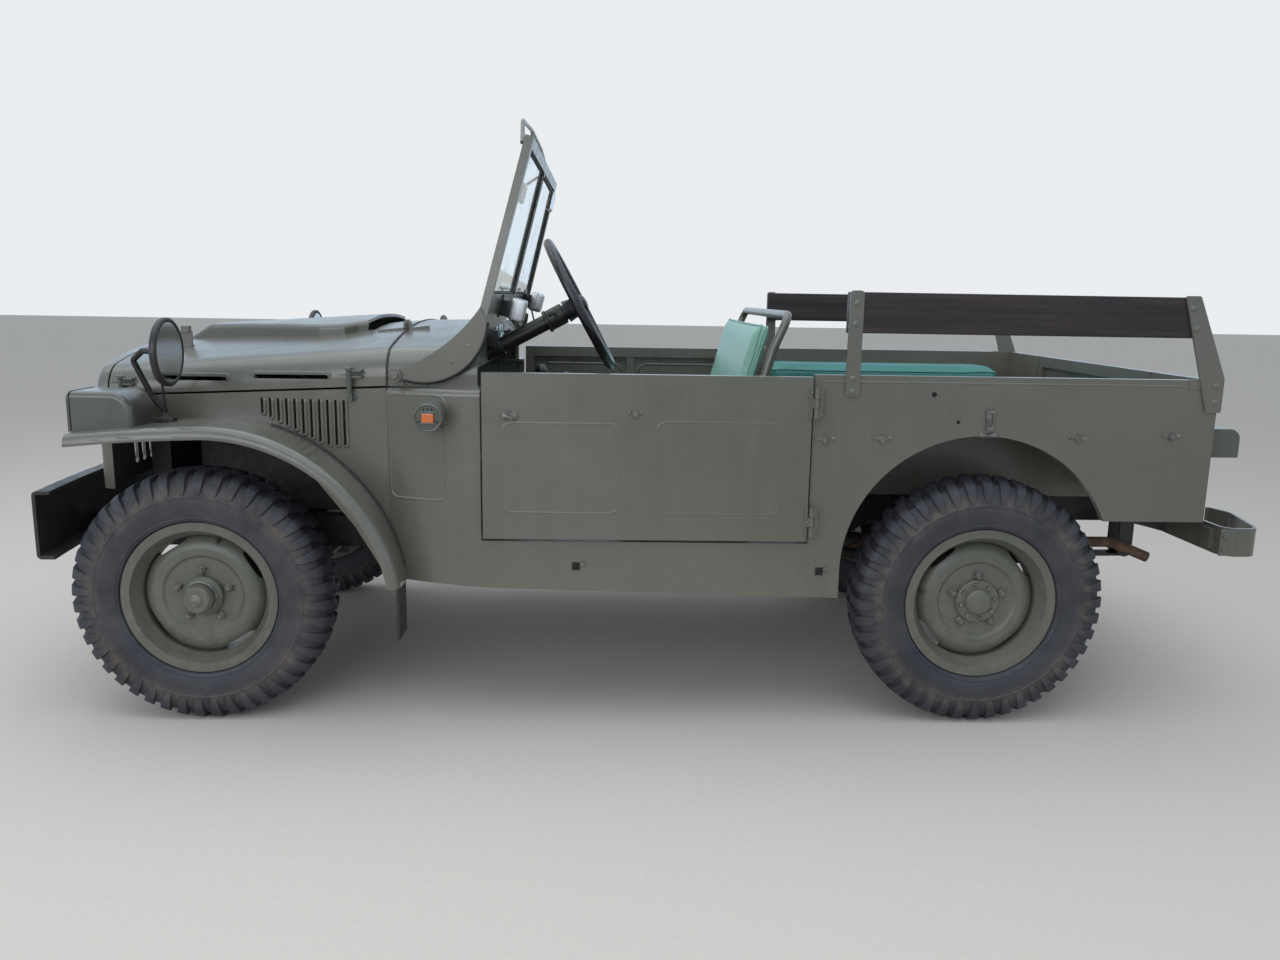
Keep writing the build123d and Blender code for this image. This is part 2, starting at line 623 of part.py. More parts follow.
def around_front_wheel(angle, reach):
    """A point beside the tyre in side view, by its angle and its distance from the tread."""
    turn = math.radians(angle)
    distance = TYRE_RADIUS + reach
    return (FRONT_AXLE + distance * math.cos(turn), WHEEL_CENTRE + distance * math.sin(turn))


# Engine side louvres. Pressed outwards, each with a round-ended slot and a lip around its rear and foot
LOUVRE_COUNT = 11
LOUVRE_PITCH = 24.3
LOUVRE_FIRST = FRONT_AXLE - 168
LOUVRE_TOP = RAIL_TOP - 98
LOUVRE_SHORTEST = 45
LOUVRE_GROWTH = 11
LOUVRE_LONGEST = 130
LOUVRE_SLOT = 10
LIP_WIDTH = 18
LIP_PROUD = 5
LIP_SHIFT = 4
LIP_BEVEL = 3


def pressed_lip(length, width, proud, edge):
    """A raised pressing with round ends, lying along X, its outer edge bevelled."""
    lip = Pos(0, 0, -3) * extrude(SlotOverall(length, width), proud + 3)
    return chamfer(lip.faces().sort_by(Axis.Z)[-1].edges(), edge)


def engine_side():
    """Left engine side panel with its row of pressed louvres."""
    front = BONNET_FRONT + SEAM
    level = WHEEL_CENTRE + TYRE_RADIUS + 119
    outline = side_plate(polygon([
        (front, seam_z(front) - SEAM), (BONNET_REAR, COWL_SEAM - SEAM), (BONNET_REAR, SILL_FRONT_LOW - 21),
        around_front_wheel(155.3, 106), around_front_wheel(123.5, 108), (FRONT_AXLE - 65, level),
        (FRONT_AXLE + 221, level), (front, level - 30)]), FLANK_NOSE - 60, SIDE_OUT)
    wall = flank_solid(0, SILL_REAR_LOW, RAIL_TOP) - flank_solid(PANEL, SILL_REAR_LOW - 1, RAIL_TOP + 1)
    shape = wall & outline
    slots = []
    for number in range(LOUVRE_COUNT):
        length = min(LOUVRE_SHORTEST + LOUVRE_GROWTH * number, LOUVRE_LONGEST)
        plane = flank_plane(LOUVRE_FIRST - number * LOUVRE_PITCH, LOUVRE_TOP - length / 2)
        lip = Rot(0, 0, 90) * pressed_lip(length + 6, LIP_WIDTH, LIP_PROUD, LIP_BEVEL)
        shape += plane * (Pos(LIP_SHIFT, -LIP_SHIFT, 0) * lip)
        slots.append(plane * extrude(Rot(0, 0, 90) * SlotOverall(length, LOUVRE_SLOT), 2 * PANEL, both=True))
    return shape - slots


# Bonnet with its bulge. Outline of the left half: distance ahead of the front axle, half width
BULGE_OUTLINE = ((260, 0), (254, 58), (-266, 332), (-345, 340), (-379, 303), (-405, 292))
BULGE_REAR = FRONT_AXLE - 405
BULGE_SLOPE = 0.0685
BULGE_LEVEL = FRONT_AXLE - 73
BULGE_TOP = RAIL_TOP + 109
BULGE_ROUND = 2600
BULGE_EDGE = 16
BULGE_NOSE = FRONT_AXLE + 150
BONNET_SLOTS = ((FRONT_AXLE + 44, RAIL_TOP - 49), (FRONT_AXLE - 258, RAIL_TOP - 36))
BONNET_SLOT_LENGTH = 222
BONNET_SLOT = 12
BROW = 22


def bulge(inset):
    """The raised middle of the bonnet, crowned, sloping down in front and open behind."""
    left = [(FRONT_AXLE + x, y) for x, y in BULGE_OUTLINE]
    right = [(x, -y) for x, y in reversed(left[1:])]
    face = make_face(polygon(left + right))
    if inset:
        face = offset(face, amount=-inset) + Pos(BULGE_REAR, 0) * Rectangle(4 * inset, 560)
    prism = Pos(0, 0, RAIL_TOP - 10) * extrude(face, 200)
    length = math.hypot(1, BULGE_SLOPE)
    axis = (-1 / length, 0, BULGE_SLOPE / length)
    radius = BULGE_ROUND - inset
    centre = (BULGE_LEVEL - axis[2] * BULGE_ROUND, 0, BULGE_TOP + axis[0] * BULGE_ROUND)
    top = Plane(origin=centre, z_dir=axis) * Cylinder(radius, 3000)
    knee = BULGE_TOP - BULGE_SLOPE * (BULGE_NOSE - BULGE_LEVEL) - inset
    tip = FRONT_AXLE + 262 - 2 * inset
    toe = skin_z(tip, 0) - 4
    slope = side_plate(polygon([
        (BULGE_NOSE, knee), (BULGE_NOSE, knee + 100), (tip + 60, knee + 100), (tip + 60, toe), (tip, toe)]),
        -400, 400)
    return (prism & top) - slope


def bulge_skin():
    """The outside of the bulge with its upper edges rounded."""
    form = bulge(0)
    upper = [e for e in form.edges() if e.center().Z > RAIL_TOP + 30 and abs(e.tangent_at(0.5).Z) < 0.9]
    return fillet([e for e in upper if e.center().X > BULGE_REAR + 5], BULGE_EDGE)


# Bonnet hinges and the rests of the folded windscreen
HINGE_X = BONNET_REAR - 3
HINGE_Y = 336
HINGE_SKIN = skin_z(HINGE_X, HINGE_Y)
HINGE_Z = HINGE_SKIN + 21
HINGE_TUBE = 9
HINGE_CORE = 4
STRAP = 24
STRAP_HALF = 11
STRAP_PROUD = 5
STRAP_SUNK = 6
STRAP_FRONT = 91
STRAP_REAR = 66
REST_X = FRONT_AXLE + 152
REST_Y = 303
REST_TOP = RAIL_TOP + 92


def hinge_strap(side, way):
    """One leaf of a strap hinge: on the bonnet where way is 1, on the scuttle where it is -1."""
    reach = STRAP_FRONT if way > 0 else STRAP_REAR
    near, far = HINGE_X + 10 * way, HINGE_X + reach * way
    y = side * HINGE_Y
    leaf = side_plate(polygon([
        (near, HINGE_SKIN - STRAP_SUNK), (near, HINGE_SKIN + STRAP_PROUD),
        (far, skin_z(far, HINGE_Y) + STRAP_PROUD), (far, skin_z(far, HINGE_Y) - STRAP_SUNK)]),
        y - STRAP_HALF, y + STRAP_HALF)
    tip = STRAP_HALF - 5
    taper = plan_plate(polygon([
        (near, y - STRAP_HALF), (near, y + STRAP_HALF), (far, y + tip), (far, y - tip)]),
        RAIL_TOP, RAIL_TOP + 200)
    y0, y1 = sorted((y - way, y - way * STRAP_HALF))
    x0, x1 = sorted((HINGE_X + 3 * way, HINGE_X + 14 * way))
    neck = block(x0, x1, y0, y1, HINGE_SKIN - 2, HINGE_Z)
    return (leaf & taper) + neck + bar_y(HINGE_X, HINGE_Z, HINGE_TUBE, y0, y1)


def screen_rest(side):
    """Bracket with a buffer on which the folded windscreen rests."""
    y = side * REST_Y
    skin = skin_z(REST_X, REST_Y)
    shape = block(REST_X - 18, REST_X + 18, y - 3, y + 3, skin - STRAP_SUNK, REST_TOP - 16)
    shape += block(REST_X - 18, REST_X + 18, y - 14, y + 14, skin - STRAP_SUNK, skin + 6)
    return shape + block(REST_X - 12, REST_X + 12, y - 10, y + 10, REST_TOP - 20, REST_TOP)


def bonnet():
    """Bonnet hinged at its rear edge, with its bulge, side slots and rests for the folded windscreen."""
    outer = loft([bonnet_section(x, seam_z(x)) for x in (BONNET_REAR, BONNET_FRONT)], ruled=True)
    ends = (BONNET_REAR - 1, BONNET_FRONT + 1)
    inner = loft([bonnet_section(x, seam_z(x) - 20, SHEET) for x in ends], ruled=True)
    shape = outer + bulge_skin() - inner - bulge(SHEET)
    for x, z in BONNET_SLOTS:
        plane = flank_plane(x, z) * Rot(0, 0, 1)
        brow = plane * (Pos(0, 5, 0) * pressed_lip(BONNET_SLOT_LENGTH + 18, BROW, 2.5, 2))
        slot = plane * extrude(SlotOverall(BONNET_SLOT_LENGTH, BONNET_SLOT), 30, both=True)
        shape = shape + (both(brow) - inner) - both(slot)
    for side in (-1, 1):
        shape += hinge_strap(side, 1) + screen_rest(side)
        shape -= bar_y(HINGE_X, HINGE_Z, HINGE_CORE + PIN_FIT, side * HINGE_Y - STRAP, side * HINGE_Y + STRAP)
    return shape


# Scuttle and dash
def scuttle_form(inset, stretch):
    """The full form of the scuttle, made smaller by the inset and longer at both ends."""
    ends = ((DASH_FACE - stretch, COWL_CROWN), (BONNET_REAR - SEAM + stretch, REAR_CROWN))
    low = COWL_SEAM - 20 * stretch
    sections = [front_section(x, FLANK_MIDDLE, low, crown, REAR_ROUND, inset) for x, crown in ends]
    return loft(sections, ruled=True)


def scuttle():
    """Arched scuttle between bonnet and windscreen, with the fixed leaves of the bonnet hinges."""
    shape = scuttle_form(0, 0) - scuttle_form(SHEET, 1) + dash_panel()
    for side in (-1, 1):
        y = side * HINGE_Y
        shape += hinge_strap(side, -1)
        shape += bar_y(HINGE_X, HINGE_Z, HINGE_CORE, y - STRAP_HALF, y + STRAP_HALF)
    return shape


DASH_LOW = RAIL_TOP - 2
COLUMN_RADIUS = 24


def dash_panel():
    """Dash panel closing the rear of the scuttle, open for the steering column."""
    face = front_section(DASH_FACE + 2, FLANK_MIDDLE, COWL_SEAM, COWL_CROWN, REAR_ROUND, SHEET / 2)
    shape = extrude(face, PANEL) - block(DASH_FACE - 5, DASH_FACE + 40, -620, 620, COWL_SEAM - 78, DASH_LOW)
    return shape - column_tube(COLUMN_RADIUS + PIN_FIT)


def ledge_solid(inset, z0, z1, edge):
    """The space inside the scuttle sides, its upper edge rounded."""
    solid = flank_solid(inset, z0, z1)
    rim = [e for e in solid.edges().group_by(Axis.Z)[-1] if e.center().Y > FLANK_NOSE / 2]
    return fillet([e for e in rim if DOOR_FRONT + 1 < e.center().X < NOSE_FACE], edge)


def cowl_side():
    """Left scuttle side, its ledge beside the scuttle and the sill below the door."""
    outer = ledge_solid(0, SILL_REAR_LOW, COWL_SEAM, LEDGE_RADIUS)
    inner = ledge_solid(PANEL, SILL_REAR_LOW - 1, COWL_SEAM - SHEET, LEDGE_RADIUS - SHEET)
    step = BONNET_REAR - SEAM
    span = side_plate(polygon([
        (DOOR_FRONT, sill_low(DOOR_FRONT)), (BONNET_REAR, sill_low(BONNET_REAR)),
        (BONNET_REAR, COWL_SEAM - SEAM), (step, COWL_SEAM - SEAM), (step, COWL_SEAM + 5),
        (DOOR_FRONT, COWL_SEAM + 5)]), FLANK_MIDDLE - 40, SIDE_OUT + 5)
    end_wall = block(DOOR_FRONT, DOOR_FRONT + WALL, SIDE_IN, SIDE_OUT, SILL_REAR_LOW, COWL_SEAM)
    shape = ((outer - inner) + (outer & end_wall)) & span
    return shape + side_plate(polygon([
        (DOOR_REAR, sill_low(DOOR_REAR)), (DOOR_FRONT, sill_low(DOOR_FRONT)),
        (DOOR_FRONT, FLOOR_TOP), (DOOR_REAR, FLOOR_TOP)]), SIDE_IN, SIDE_OUT)


def bulkhead():
    """Upright wall between engine and cabin."""
    half = FLANK_MIDDLE - PANEL - 4
    return block(BULKHEAD, BULKHEAD + SHEET, -half, half, FLOOR_TOP - PANEL, COWL_SEAM - PANEL)


# Nose
NOSE_BOTTOM = FRAME_TOP + 115
NOSE_BOW = 9000 * (FLANK_NOSE / 497) ** 2
NOSE_EDGE = 26
GRILLE_SLOTS = 11
GRILLE_PITCH = 54
GRILLE_SLOT = 26
GRILLE_LOW = NOSE_BOTTOM + 40
GRILLE_HIGH = RAIL_TOP - 100


def nose_form(inset):
    """The nose as a full form with a slightly bowed face."""
    rear = BONNET_FRONT + SEAM - inset / 10
    low = NOSE_BOTTOM - inset
    form = loft([bonnet_section(x, low, inset) for x in (rear, NOSE_FACE + 20)], ruled=True)
    return form & bar_z(NOSE_FACE - NOSE_BOW, 0, NOSE_BOW - inset, low - 5, RAIL_TOP + 200)


def nose_panel():
    """Front panel with rounded edges and a row of upright cooling slots."""
    outer = nose_form(0)
    face = outer.faces().sort_by(Axis.X)[-1]
    outer = fillet([e for e in face.edges() if e.center().Z > NOSE_BOTTOM + 5], NOSE_EDGE)
    shape = outer - nose_form(SHEET)
    height = GRILLE_HIGH - GRILLE_LOW
    slots = []
    for number in range(GRILLE_SLOTS):
        y = (number - (GRILLE_SLOTS - 1) / 2) * GRILLE_PITCH
        plane = Plane(origin=(NOSE_FACE - 60, y, GRILLE_LOW + height / 2), x_dir=(0, 0, 1), z_dir=(1, 0, 0))
        slots.append(extrude(plane * SlotOverall(height, GRILLE_SLOT), 80))
    return shape - slots


def radiator():
    """Radiator block behind the nose."""
    return block(FRONT_AXLE + 230, FRONT_AXLE + 290, -290, 290, FRAME_TOP, RAIL_TOP - 70)


# Wings
LIP_DEPTH = 34
WING_EDGE = 28
WING_ROOT = FLANK_NOSE - 57


def wing_curve(drop, forward):
    """Side line of the wing: a flat crest and a long rounded fall to the sill."""
    level = WING_CREST - drop
    crest = (FRONT_AXLE - 60, level)
    via_x, via_z = around_front_wheel(138.5, 186)
    first = ThreePointArc((WING_TIP, level - 24), (FRONT_AXLE + 130, level - 9), crest)
    second = ThreePointArc(crest, (via_x + 0.8 * forward, via_z - 0.6 * drop),
                           (WING_FOOT + forward, SILL_FRONT_LOW + 2))
    return first, second


def wing_band(high, low, y0, y1, edge):
    """A strip between two depths under the wing line, its outer upper edge rounded."""
    top = wing_curve(high, high)
    foot = wing_curve(low, low)
    ends = [Line(top[1] @ 1, foot[1] @ 1), Line(foot[0] @ 0, top[0] @ 0)]
    band = side_plate(Curve() + [top[0], top[1], ends[0], foot[1], foot[0], ends[1]], y0, y1)
    outer = [e for e in band.faces().sort_by(Axis.Y)[-1].edges() if e.length > 200]
    upper = sorted(outer, key=lambda e: e.center().Z)
    return fillet([max(pair, key=lambda e: e.center().Z) for pair in (upper[:2], upper[2:])], edge)


def wing():
    """Left front wing with a rounded shoulder and a turned-down lip."""
    skin = wing_band(0, LIP_DEPTH, WING_ROOT, WING_OUT, WING_EDGE)
    hollow = wing_band(PANEL, LIP_DEPTH + 3, WING_ROOT - 1, WING_OUT - PANEL, WING_EDGE - PANEL)
    return skin - hollow - flank_solid(0, SILL_REAR_LOW - 50, RAIL_TOP)


def under_wing():
    """The space below the wing line, which shapes what stands on the wing."""
    first, second = wing_curve(0, 0)
    ahead = WING_TIP + 60
    below = Polyline(second @ 1, (WING_FOOT, 300), (ahead, 300), (ahead, WING_CREST - 27), first @ 0)
    return side_plate(Curve() + [first, second, below], WING_ROOT, WING_OUT + 20)


def mud_flap():
    """Left rubber flap hanging from the foot of the wing."""
    x = WING_FOOT + 3
    return block(x, x + 8, FLANK_MIDDLE + 30, WING_OUT - 8, SILL_FRONT_LOW - 146, SILL_FRONT_LOW + 2)


# Headlamps
LAMP_Y = WING_OUT - 130
LAMP_HALF = 75
LAMP_FRONT = FRONT_AXLE + 312
LAMP_BACK = FRONT_AXLE + 135
LAMP_TOP = WING_CREST + 86
LAMP_Z = LAMP_TOP - 62
LAMP_NOSE_ROUND = 62
LAMP_EDGE = 16
LAMP_GLASS = 54
BEZEL = 11


def headlamp():
    """Left headlamp housing, upright in front and rounded behind, standing on the wing."""
    low = WING_CREST - 60
    face = LAMP_FRONT - BEZEL
    corner = LAMP_TOP - LAMP_NOSE_ROUND
    bend = ThreePointArc(
        (LAMP_BACK, corner), (LAMP_BACK + 0.29 * LAMP_NOSE_ROUND, LAMP_TOP - 0.29 * LAMP_NOSE_ROUND),
        (LAMP_BACK + LAMP_NOSE_ROUND, LAMP_TOP))
    outline = Curve() + [
        bend, Polyline(bend @ 1, (face, LAMP_TOP), (face, low), (LAMP_BACK, low), bend @ 0)]
    body = side_plate(outline, LAMP_Y - LAMP_HALF, LAMP_Y + LAMP_HALF)
    rims = [e for e in body.edges() if abs(abs(e.center().Y - LAMP_Y) - LAMP_HALF) < 1]
    body = fillet([e for e in rims if e.center().X < face - 1 and e.center().Z > low + 1], LAMP_EDGE)
    bezel = block(face, LAMP_FRONT, LAMP_Y - LAMP_HALF + 5, LAMP_Y + LAMP_HALF - 5, low, LAMP_TOP - 5)
    bezel = fillet(bezel.edges().filter_by(Axis.X).sort_by(Axis.Z)[-2:], LAMP_EDGE)
    body = body + bezel - bar_x(LAMP_Y, LAMP_Z, LAMP_GLASS, LAMP_FRONT - 8, LAMP_FRONT + 1)
    return body - under_wing() - flank_solid(0, 300, RAIL_TOP)


def headlamp_glass():
    """Left headlamp glass."""
    return bar_x(LAMP_Y, LAMP_Z, LAMP_GLASS, LAMP_FRONT - 8, LAMP_FRONT - 2)


# Doors and tailgate
DOOR_BOTTOM = FLOOR_TOP + SEAM + 3
DOOR_TOP = RAIL_TOP - SEAM
DOOR_FRAME = 40
DOOR_HINGE = (DOOR_REAR - 4, SIDE_OUT + DOOR_PROUD + 10)
DOOR_HINGE_LEVELS = (RAIL_TOP - 412, RAIL_TOP - 78)
HINGE_PIN = 4
HINGE_BARREL = 7.5
HINGE_HALF = 42
HINGE_MIDDLE = 14
HINGE_LEAF = 19
LEAF_PROUD = 4


def hinge_leaf(way, skin, z, knuckles):
    """One leaf of a door hinge with its knuckles, ahead of the pin where way is 1 and behind it where -1."""
    x, y = DOOR_HINGE
    near, far = sorted((x + way * (HINGE_BARREL + 2), x + way * HINGE_LEAF))
    shape = block(near, far, skin - 1, SIDE_OUT + DOOR_PROUD + LEAF_PROUD, z - HINGE_HALF, z + HINGE_HALF)
    root, tip = sorted((x, x + way * (HINGE_BARREL + 5)))
    for low, high in knuckles:
        shape += block(root, tip, skin - 1, y, z + low, z + high)
        shape += bar_z(x, y, HINGE_BARREL, z + low, z + high)
    return shape


def door():
    """Left door hinged at its rear edge, standing proud of the body side."""
    outer = SIDE_OUT + DOOR_PROUD
    inner = outer - DOOR_THICKNESS
    shape = block(DOOR_REAR + SEAM, DOOR_FRONT - SEAM, inner, outer, DOOR_BOTTOM, DOOR_TOP)
    shape -= block(DOOR_REAR + DOOR_FRAME, DOOR_FRONT - DOOR_FRAME, inner - 1, outer - SHEET,
                   DOOR_BOTTOM + DOOR_FRAME, DOOR_TOP - DOOR_FRAME)
    x, y = DOOR_HINGE
    for z in DOOR_HINGE_LEVELS:
        shape += hinge_leaf(1, outer, z, [(1 - HINGE_MIDDLE, HINGE_MIDDLE - 1)])
        shape -= bar_z(x, y, HINGE_PIN + PIN_FIT, z - HINGE_MIDDLE, z + HINGE_MIDDLE)
    return shape


def rear_side_hinges():
    """Left fixed leaves of the door hinges with their pins."""
    x, y = DOOR_HINGE
    knuckles = [(-HINGE_HALF, -HINGE_MIDDLE), (HINGE_MIDDLE, HINGE_HALF)]
    leaves = [hinge_leaf(-1, SIDE_OUT, z, knuckles) for z in DOOR_HINGE_LEVELS]
    pins = [bar_z(x, y, HINGE_PIN, z - HINGE_HALF, z + HINGE_HALF) for z in DOOR_HINGE_LEVELS]
    return leaves[0] + leaves[1] + pins


GATE_HALF = 410
GATE_FRAME = 40
GATE_BOTTOM = LOAD_FLOOR_TOP - 4
GATE_HINGE_Z = LOAD_FLOOR_TOP - 14
GATE_HINGE_X = TUB_REAR - 14
GATE_HINGE_Y = 280
GATE_HINGE_SPAN = 30


def rear_corners():
    """Fixed rear panel: a corner each side of the tailgate and the sill under it."""
    shape = block(TUB_REAR, TUB_REAR + WALL, -SIDE_IN, SIDE_IN, REAR_SKIRT_LOW, LOAD_FLOOR_TOP - PANEL)
    for side in (-1, 1):
        shape += side_block(side, TUB_REAR, TUB_REAR + WALL, GATE_HALF + SEAM, SIDE_IN,
                            REAR_SKIRT_LOW, RAIL_TOP)
        y = side * GATE_HINGE_Y
        y0, y1 = y + 1, y + GATE_HINGE_SPAN
        shape += block(GATE_HINGE_X, TUB_REAR + 2, y0, y1, GATE_HINGE_Z - HINGE_BARREL, GATE_HINGE_Z)
        shape += bar_y(GATE_HINGE_X, GATE_HINGE_Z, HINGE_BARREL, y0, y1)
        shape += bar_y(GATE_HINGE_X, GATE_HINGE_Z, HINGE_PIN, y0 - GATE_HINGE_SPAN, y1)
    return shape


def tailgate():
    """Bottom-hinged tailgate between the corner panels."""
    shape = block(TUB_REAR, TUB_REAR + WALL, -GATE_HALF, GATE_HALF, GATE_BOTTOM, RAIL_TOP)
    shape -= block(TUB_REAR + SHEET, TUB_REAR + WALL + 1, GATE_FRAME - GATE_HALF, GATE_HALF - GATE_FRAME,
                   GATE_BOTTOM + GATE_FRAME, RAIL_TOP - GATE_FRAME)
    for side in (-1, 1):
        y = side * GATE_HINGE_Y
        y0, y1 = y - GATE_HINGE_SPAN, y - 1
        shape += bar_y(GATE_HINGE_X, GATE_HINGE_Z, HINGE_BARREL, y0, y1)
        shape += block(GATE_HINGE_X - HINGE_BARREL, GATE_HINGE_X, y0, y1, GATE_HINGE_Z, GATE_BOTTOM + 50)
        shape += block(GATE_HINGE_X - HINGE_BARREL, TUB_REAR + 2, y0, y1, GATE_BOTTOM + 10, GATE_BOTTOM + 50)
        shape -= bar_y(GATE_HINGE_X, GATE_HINGE_Z, HINGE_PIN + PIN_FIT, y - 40, y + 40)
    return shape


# Windscreen. Its plane leans back from the foot, and its heights are measured along that plane
SCREEN_LEAN = 14.5
SCREEN_FOOT = (DASH_FACE - 14, RAIL_TOP + 128)
SCREEN_HEIGHT = 522
SCREEN_TOP_HALF = 600
SCREEN_DEPTH = 24
SCREEN_DIP = 70
PANE_LOW = 80
TOP_BAR = 30
POST = 34
MIDDLE_POST = 12
GLASS = 5
ARM_IN = FLANK_MIDDLE + 6
ARM_OUT = ARM_IN + 20
SCREEN_LOW_HALF = ARM_OUT - 2
PIVOT_X = FRONT_AXLE - 567
PIVOT_Z = RAIL_TOP - 22
PIVOT_PIN = 9
PIVOT_BOSS = 19

# Arm edges as distances from the pivot: upper edge from the boss to the post, then the lower edge back
ARM_UPPER = ((-22, 21), (-137, 86), (-237, 190))
ARM_LOWER = ((-254, 150), (-186, 20), (-24, -10))

# Wire hoop over the windscreen: ahead of the frame's top, half width, height above the frame's top
HOOP_POINTS = ((22, 575, -16), (26, 505, 54), (24, 200, 74))
HOOP_WIRE = 6


def screen_place(shape):
    """Set a piece drawn upright at the windscreen's foot, leaning back."""
    x, z = SCREEN_FOOT
    return Pos(x, 0, z) * Rot(0, -SCREEN_LEAN, 0) * shape


def screen_outline(edges, thickness):
    """A plate drawn as (y, height) above the windscreen's foot."""
    plane = Plane(origin=(-thickness / 2, 0, 0), x_dir=(0, 1, 0), z_dir=(1, 0, 0))
    return extrude(plane * make_face(edges), thickness)


def pane(side, thickness):
    """One windscreen pane."""
    low = SCREEN_LOW_HALF - 0.1 * (SCREEN_LOW_HALF - SCREEN_TOP_HALF)
    return screen_outline(polygon([
        (side * MIDDLE_POST, PANE_LOW), (side * (low - POST), PANE_LOW),
        (side * (SCREEN_TOP_HALF - POST), SCREEN_HEIGHT - TOP_BAR),
        (side * MIDDLE_POST, SCREEN_HEIGHT - TOP_BAR)]), thickness)


def screen_arm():
    """Left arm carrying the windscreen, curved down and forward to its pivot."""
    upper = [(PIVOT_X + x, PIVOT_Z + z) for x, z in ARM_UPPER]
    lower = [(PIVOT_X + x, PIVOT_Z + z) for x, z in ARM_LOWER]
    edges = Curve() + [
        ThreePointArc(*upper), Line(upper[-1], lower[0]), ThreePointArc(*lower),
        Polyline(lower[-1], (PIVOT_X, PIVOT_Z - 12), (PIVOT_X, PIVOT_Z + 12), upper[0])]
    return side_plate(edges, ARM_IN, ARM_OUT) + bar_y(PIVOT_X, PIVOT_Z, PIVOT_BOSS, ARM_IN, ARM_OUT + 8)


def wire_hoop():
    """Round wire hoop above the windscreen that carries the front of the hood, with two struts."""
    lean = math.radians(SCREEN_LEAN)
    x = SCREEN_FOOT[0] - SCREEN_HEIGHT * math.sin(lean)
    z = SCREEN_FOOT[1] + SCREEN_HEIGHT * math.cos(lean)
    left = [(x + ahead, y, z + rise) for ahead, y, rise in HOOP_POINTS]
    right = [(px, -py, pz) for px, py, pz in reversed(left)]
    shape = pipe_along(left + right, HOOP_WIRE, 24)
    ahead, y, rise = HOOP_POINTS[-1]
    for side in (-1, 1):
        shape += bar_z(x + ahead, side * y, HOOP_WIRE - 1, z - 14, z + rise)
    return shape


def windscreen():
    """Windscreen frame with two panes, standing on two curved side arms."""
    dip = ThreePointArc((-SCREEN_LOW_HALF, -SCREEN_DIP), (0, 0), (SCREEN_LOW_HALF, -SCREEN_DIP))
    outline = Curve() + [dip, Polyline(
        dip @ 1, (SCREEN_TOP_HALF, SCREEN_HEIGHT), (-SCREEN_TOP_HALF, SCREEN_HEIGHT), dip @ 0)]
    frame = screen_outline(outline, SCREEN_DEPTH)
    for side in (-1, 1):
        frame -= pane(side, SCREEN_DEPTH + 4)
    shape = screen_place(frame) + both(screen_arm()) + wire_hoop()
    for side in (-1, 1):
        shape -= bar_y(PIVOT_X, PIVOT_Z, PIVOT_PIN + PIN_FIT, side * (ARM_IN - 5), side * (ARM_OUT + 12))
    return shape


def windscreen_glass():
    """Both panes."""
    return group([screen_place(pane(side, GLASS)) for side in (-1, 1)])


def screen_pivot():
    """Left windscreen pivot: a pin on a bracket on the scuttle."""
    shape = bar_y(PIVOT_X, PIVOT_Z, PIVOT_PIN, ARM_IN - 6, ARM_OUT + 7)
    return shape + block(PIVOT_X - 20, PIVOT_X + 20, ARM_IN - 6, ARM_IN - 1, COWL_SEAM, PIVOT_Z + 16)


# Steering
STEER_CENTRE = (DASH_FACE - 278, 370, RAIL_TOP + 176)
STEER_RAKE = 28
STEER_RADIUS = 204
STEER_RIM = 14
STEER_SPOKES = 3
HUB_BACK = 48
COLUMN_LENGTH = 640


def steering_plane(offset):
    """Plane across the steering column, offset along it towards the driver."""
    x, y, z = STEER_CENTRE
    rake = math.radians(STEER_RAKE)
    axis = (-math.cos(rake), 0, math.sin(rake))
    origin = (x + axis[0] * offset, y, z + axis[2] * offset)
    return Plane(origin=origin, x_dir=(0, 1, 0), z_dir=axis)


def steering_wheel():
    """Steering wheel with three spokes and a tapered hub."""
    plane = steering_plane(0)
    shape = plane * Torus(STEER_RADIUS, STEER_RIM)
    for number in range(STEER_SPOKES):
        turn = Rot(0, 0, 90 + 360 / STEER_SPOKES * number)
        shape += plane * (turn * Pos(STEER_RADIUS / 2, 0, -8) * Box(STEER_RADIUS, 22, 8))
    return shape + plane * (Pos(0, 0, 8 - HUB_BACK / 2 - 4) * Cone(34, 26, HUB_BACK + 8))


def column_tube(radius):
    """The column's run from the hub downwards."""
    tube = Pos(0, 0, -COLUMN_LENGTH / 2) * Cylinder(radius, COLUMN_LENGTH)
    return steering_plane(-HUB_BACK - SEAT_FIT) * tube


def steering_column():
    """Column tube from the hub down to the bulkhead."""
    return column_tube(COLUMN_RADIUS) - block(BULKHEAD, BULKHEAD + 400, 0, 700, 400, RAIL_TOP + 200)


# Benches
BENCH_HALF = 470
BENCH_REAR = DOOR_REAR + 130
BENCH_FRONT = BENCH_REAR + 400
BENCH_TOP = FLOOR_TOP + 218
CUSHION = 90
BACK_LEAN = 15.5
BACK_THICKNESS = 44
BACK_HEIGHT = 408
BACK_OFFSET = 71
BACK_FOOT = BENCH_TOP + BACK_THICKNESS / 2 * math.sin(math.radians(BACK_LEAN)) + SEAT_FIT
HOOP_RADIUS = 13
HOOP_BEND = RAIL_TOP + 55
HOOP_TOP = RAIL_TOP + 156
SIDE_CUSHION = 74
BOARD_LOW = RAIL_TOP + 115
BOARD_HIGH = RAIL_TOP + 226
BOARD_THICKNESS = 25
UPRIGHT = 8
UPRIGHT_TOP = BOARD_HIGH + 4


def hoop_x(z):
    """The bent tube's place behind the leaning backrest at a given height."""
    lean = math.radians(BACK_LEAN)
    behind = (BACK_THICKNESS / 2 + HOOP_RADIUS + SEAT_FIT) / math.cos(lean)
    return BENCH_REAR + BACK_OFFSET - (z - BACK_FOOT) * math.tan(lean) - behind


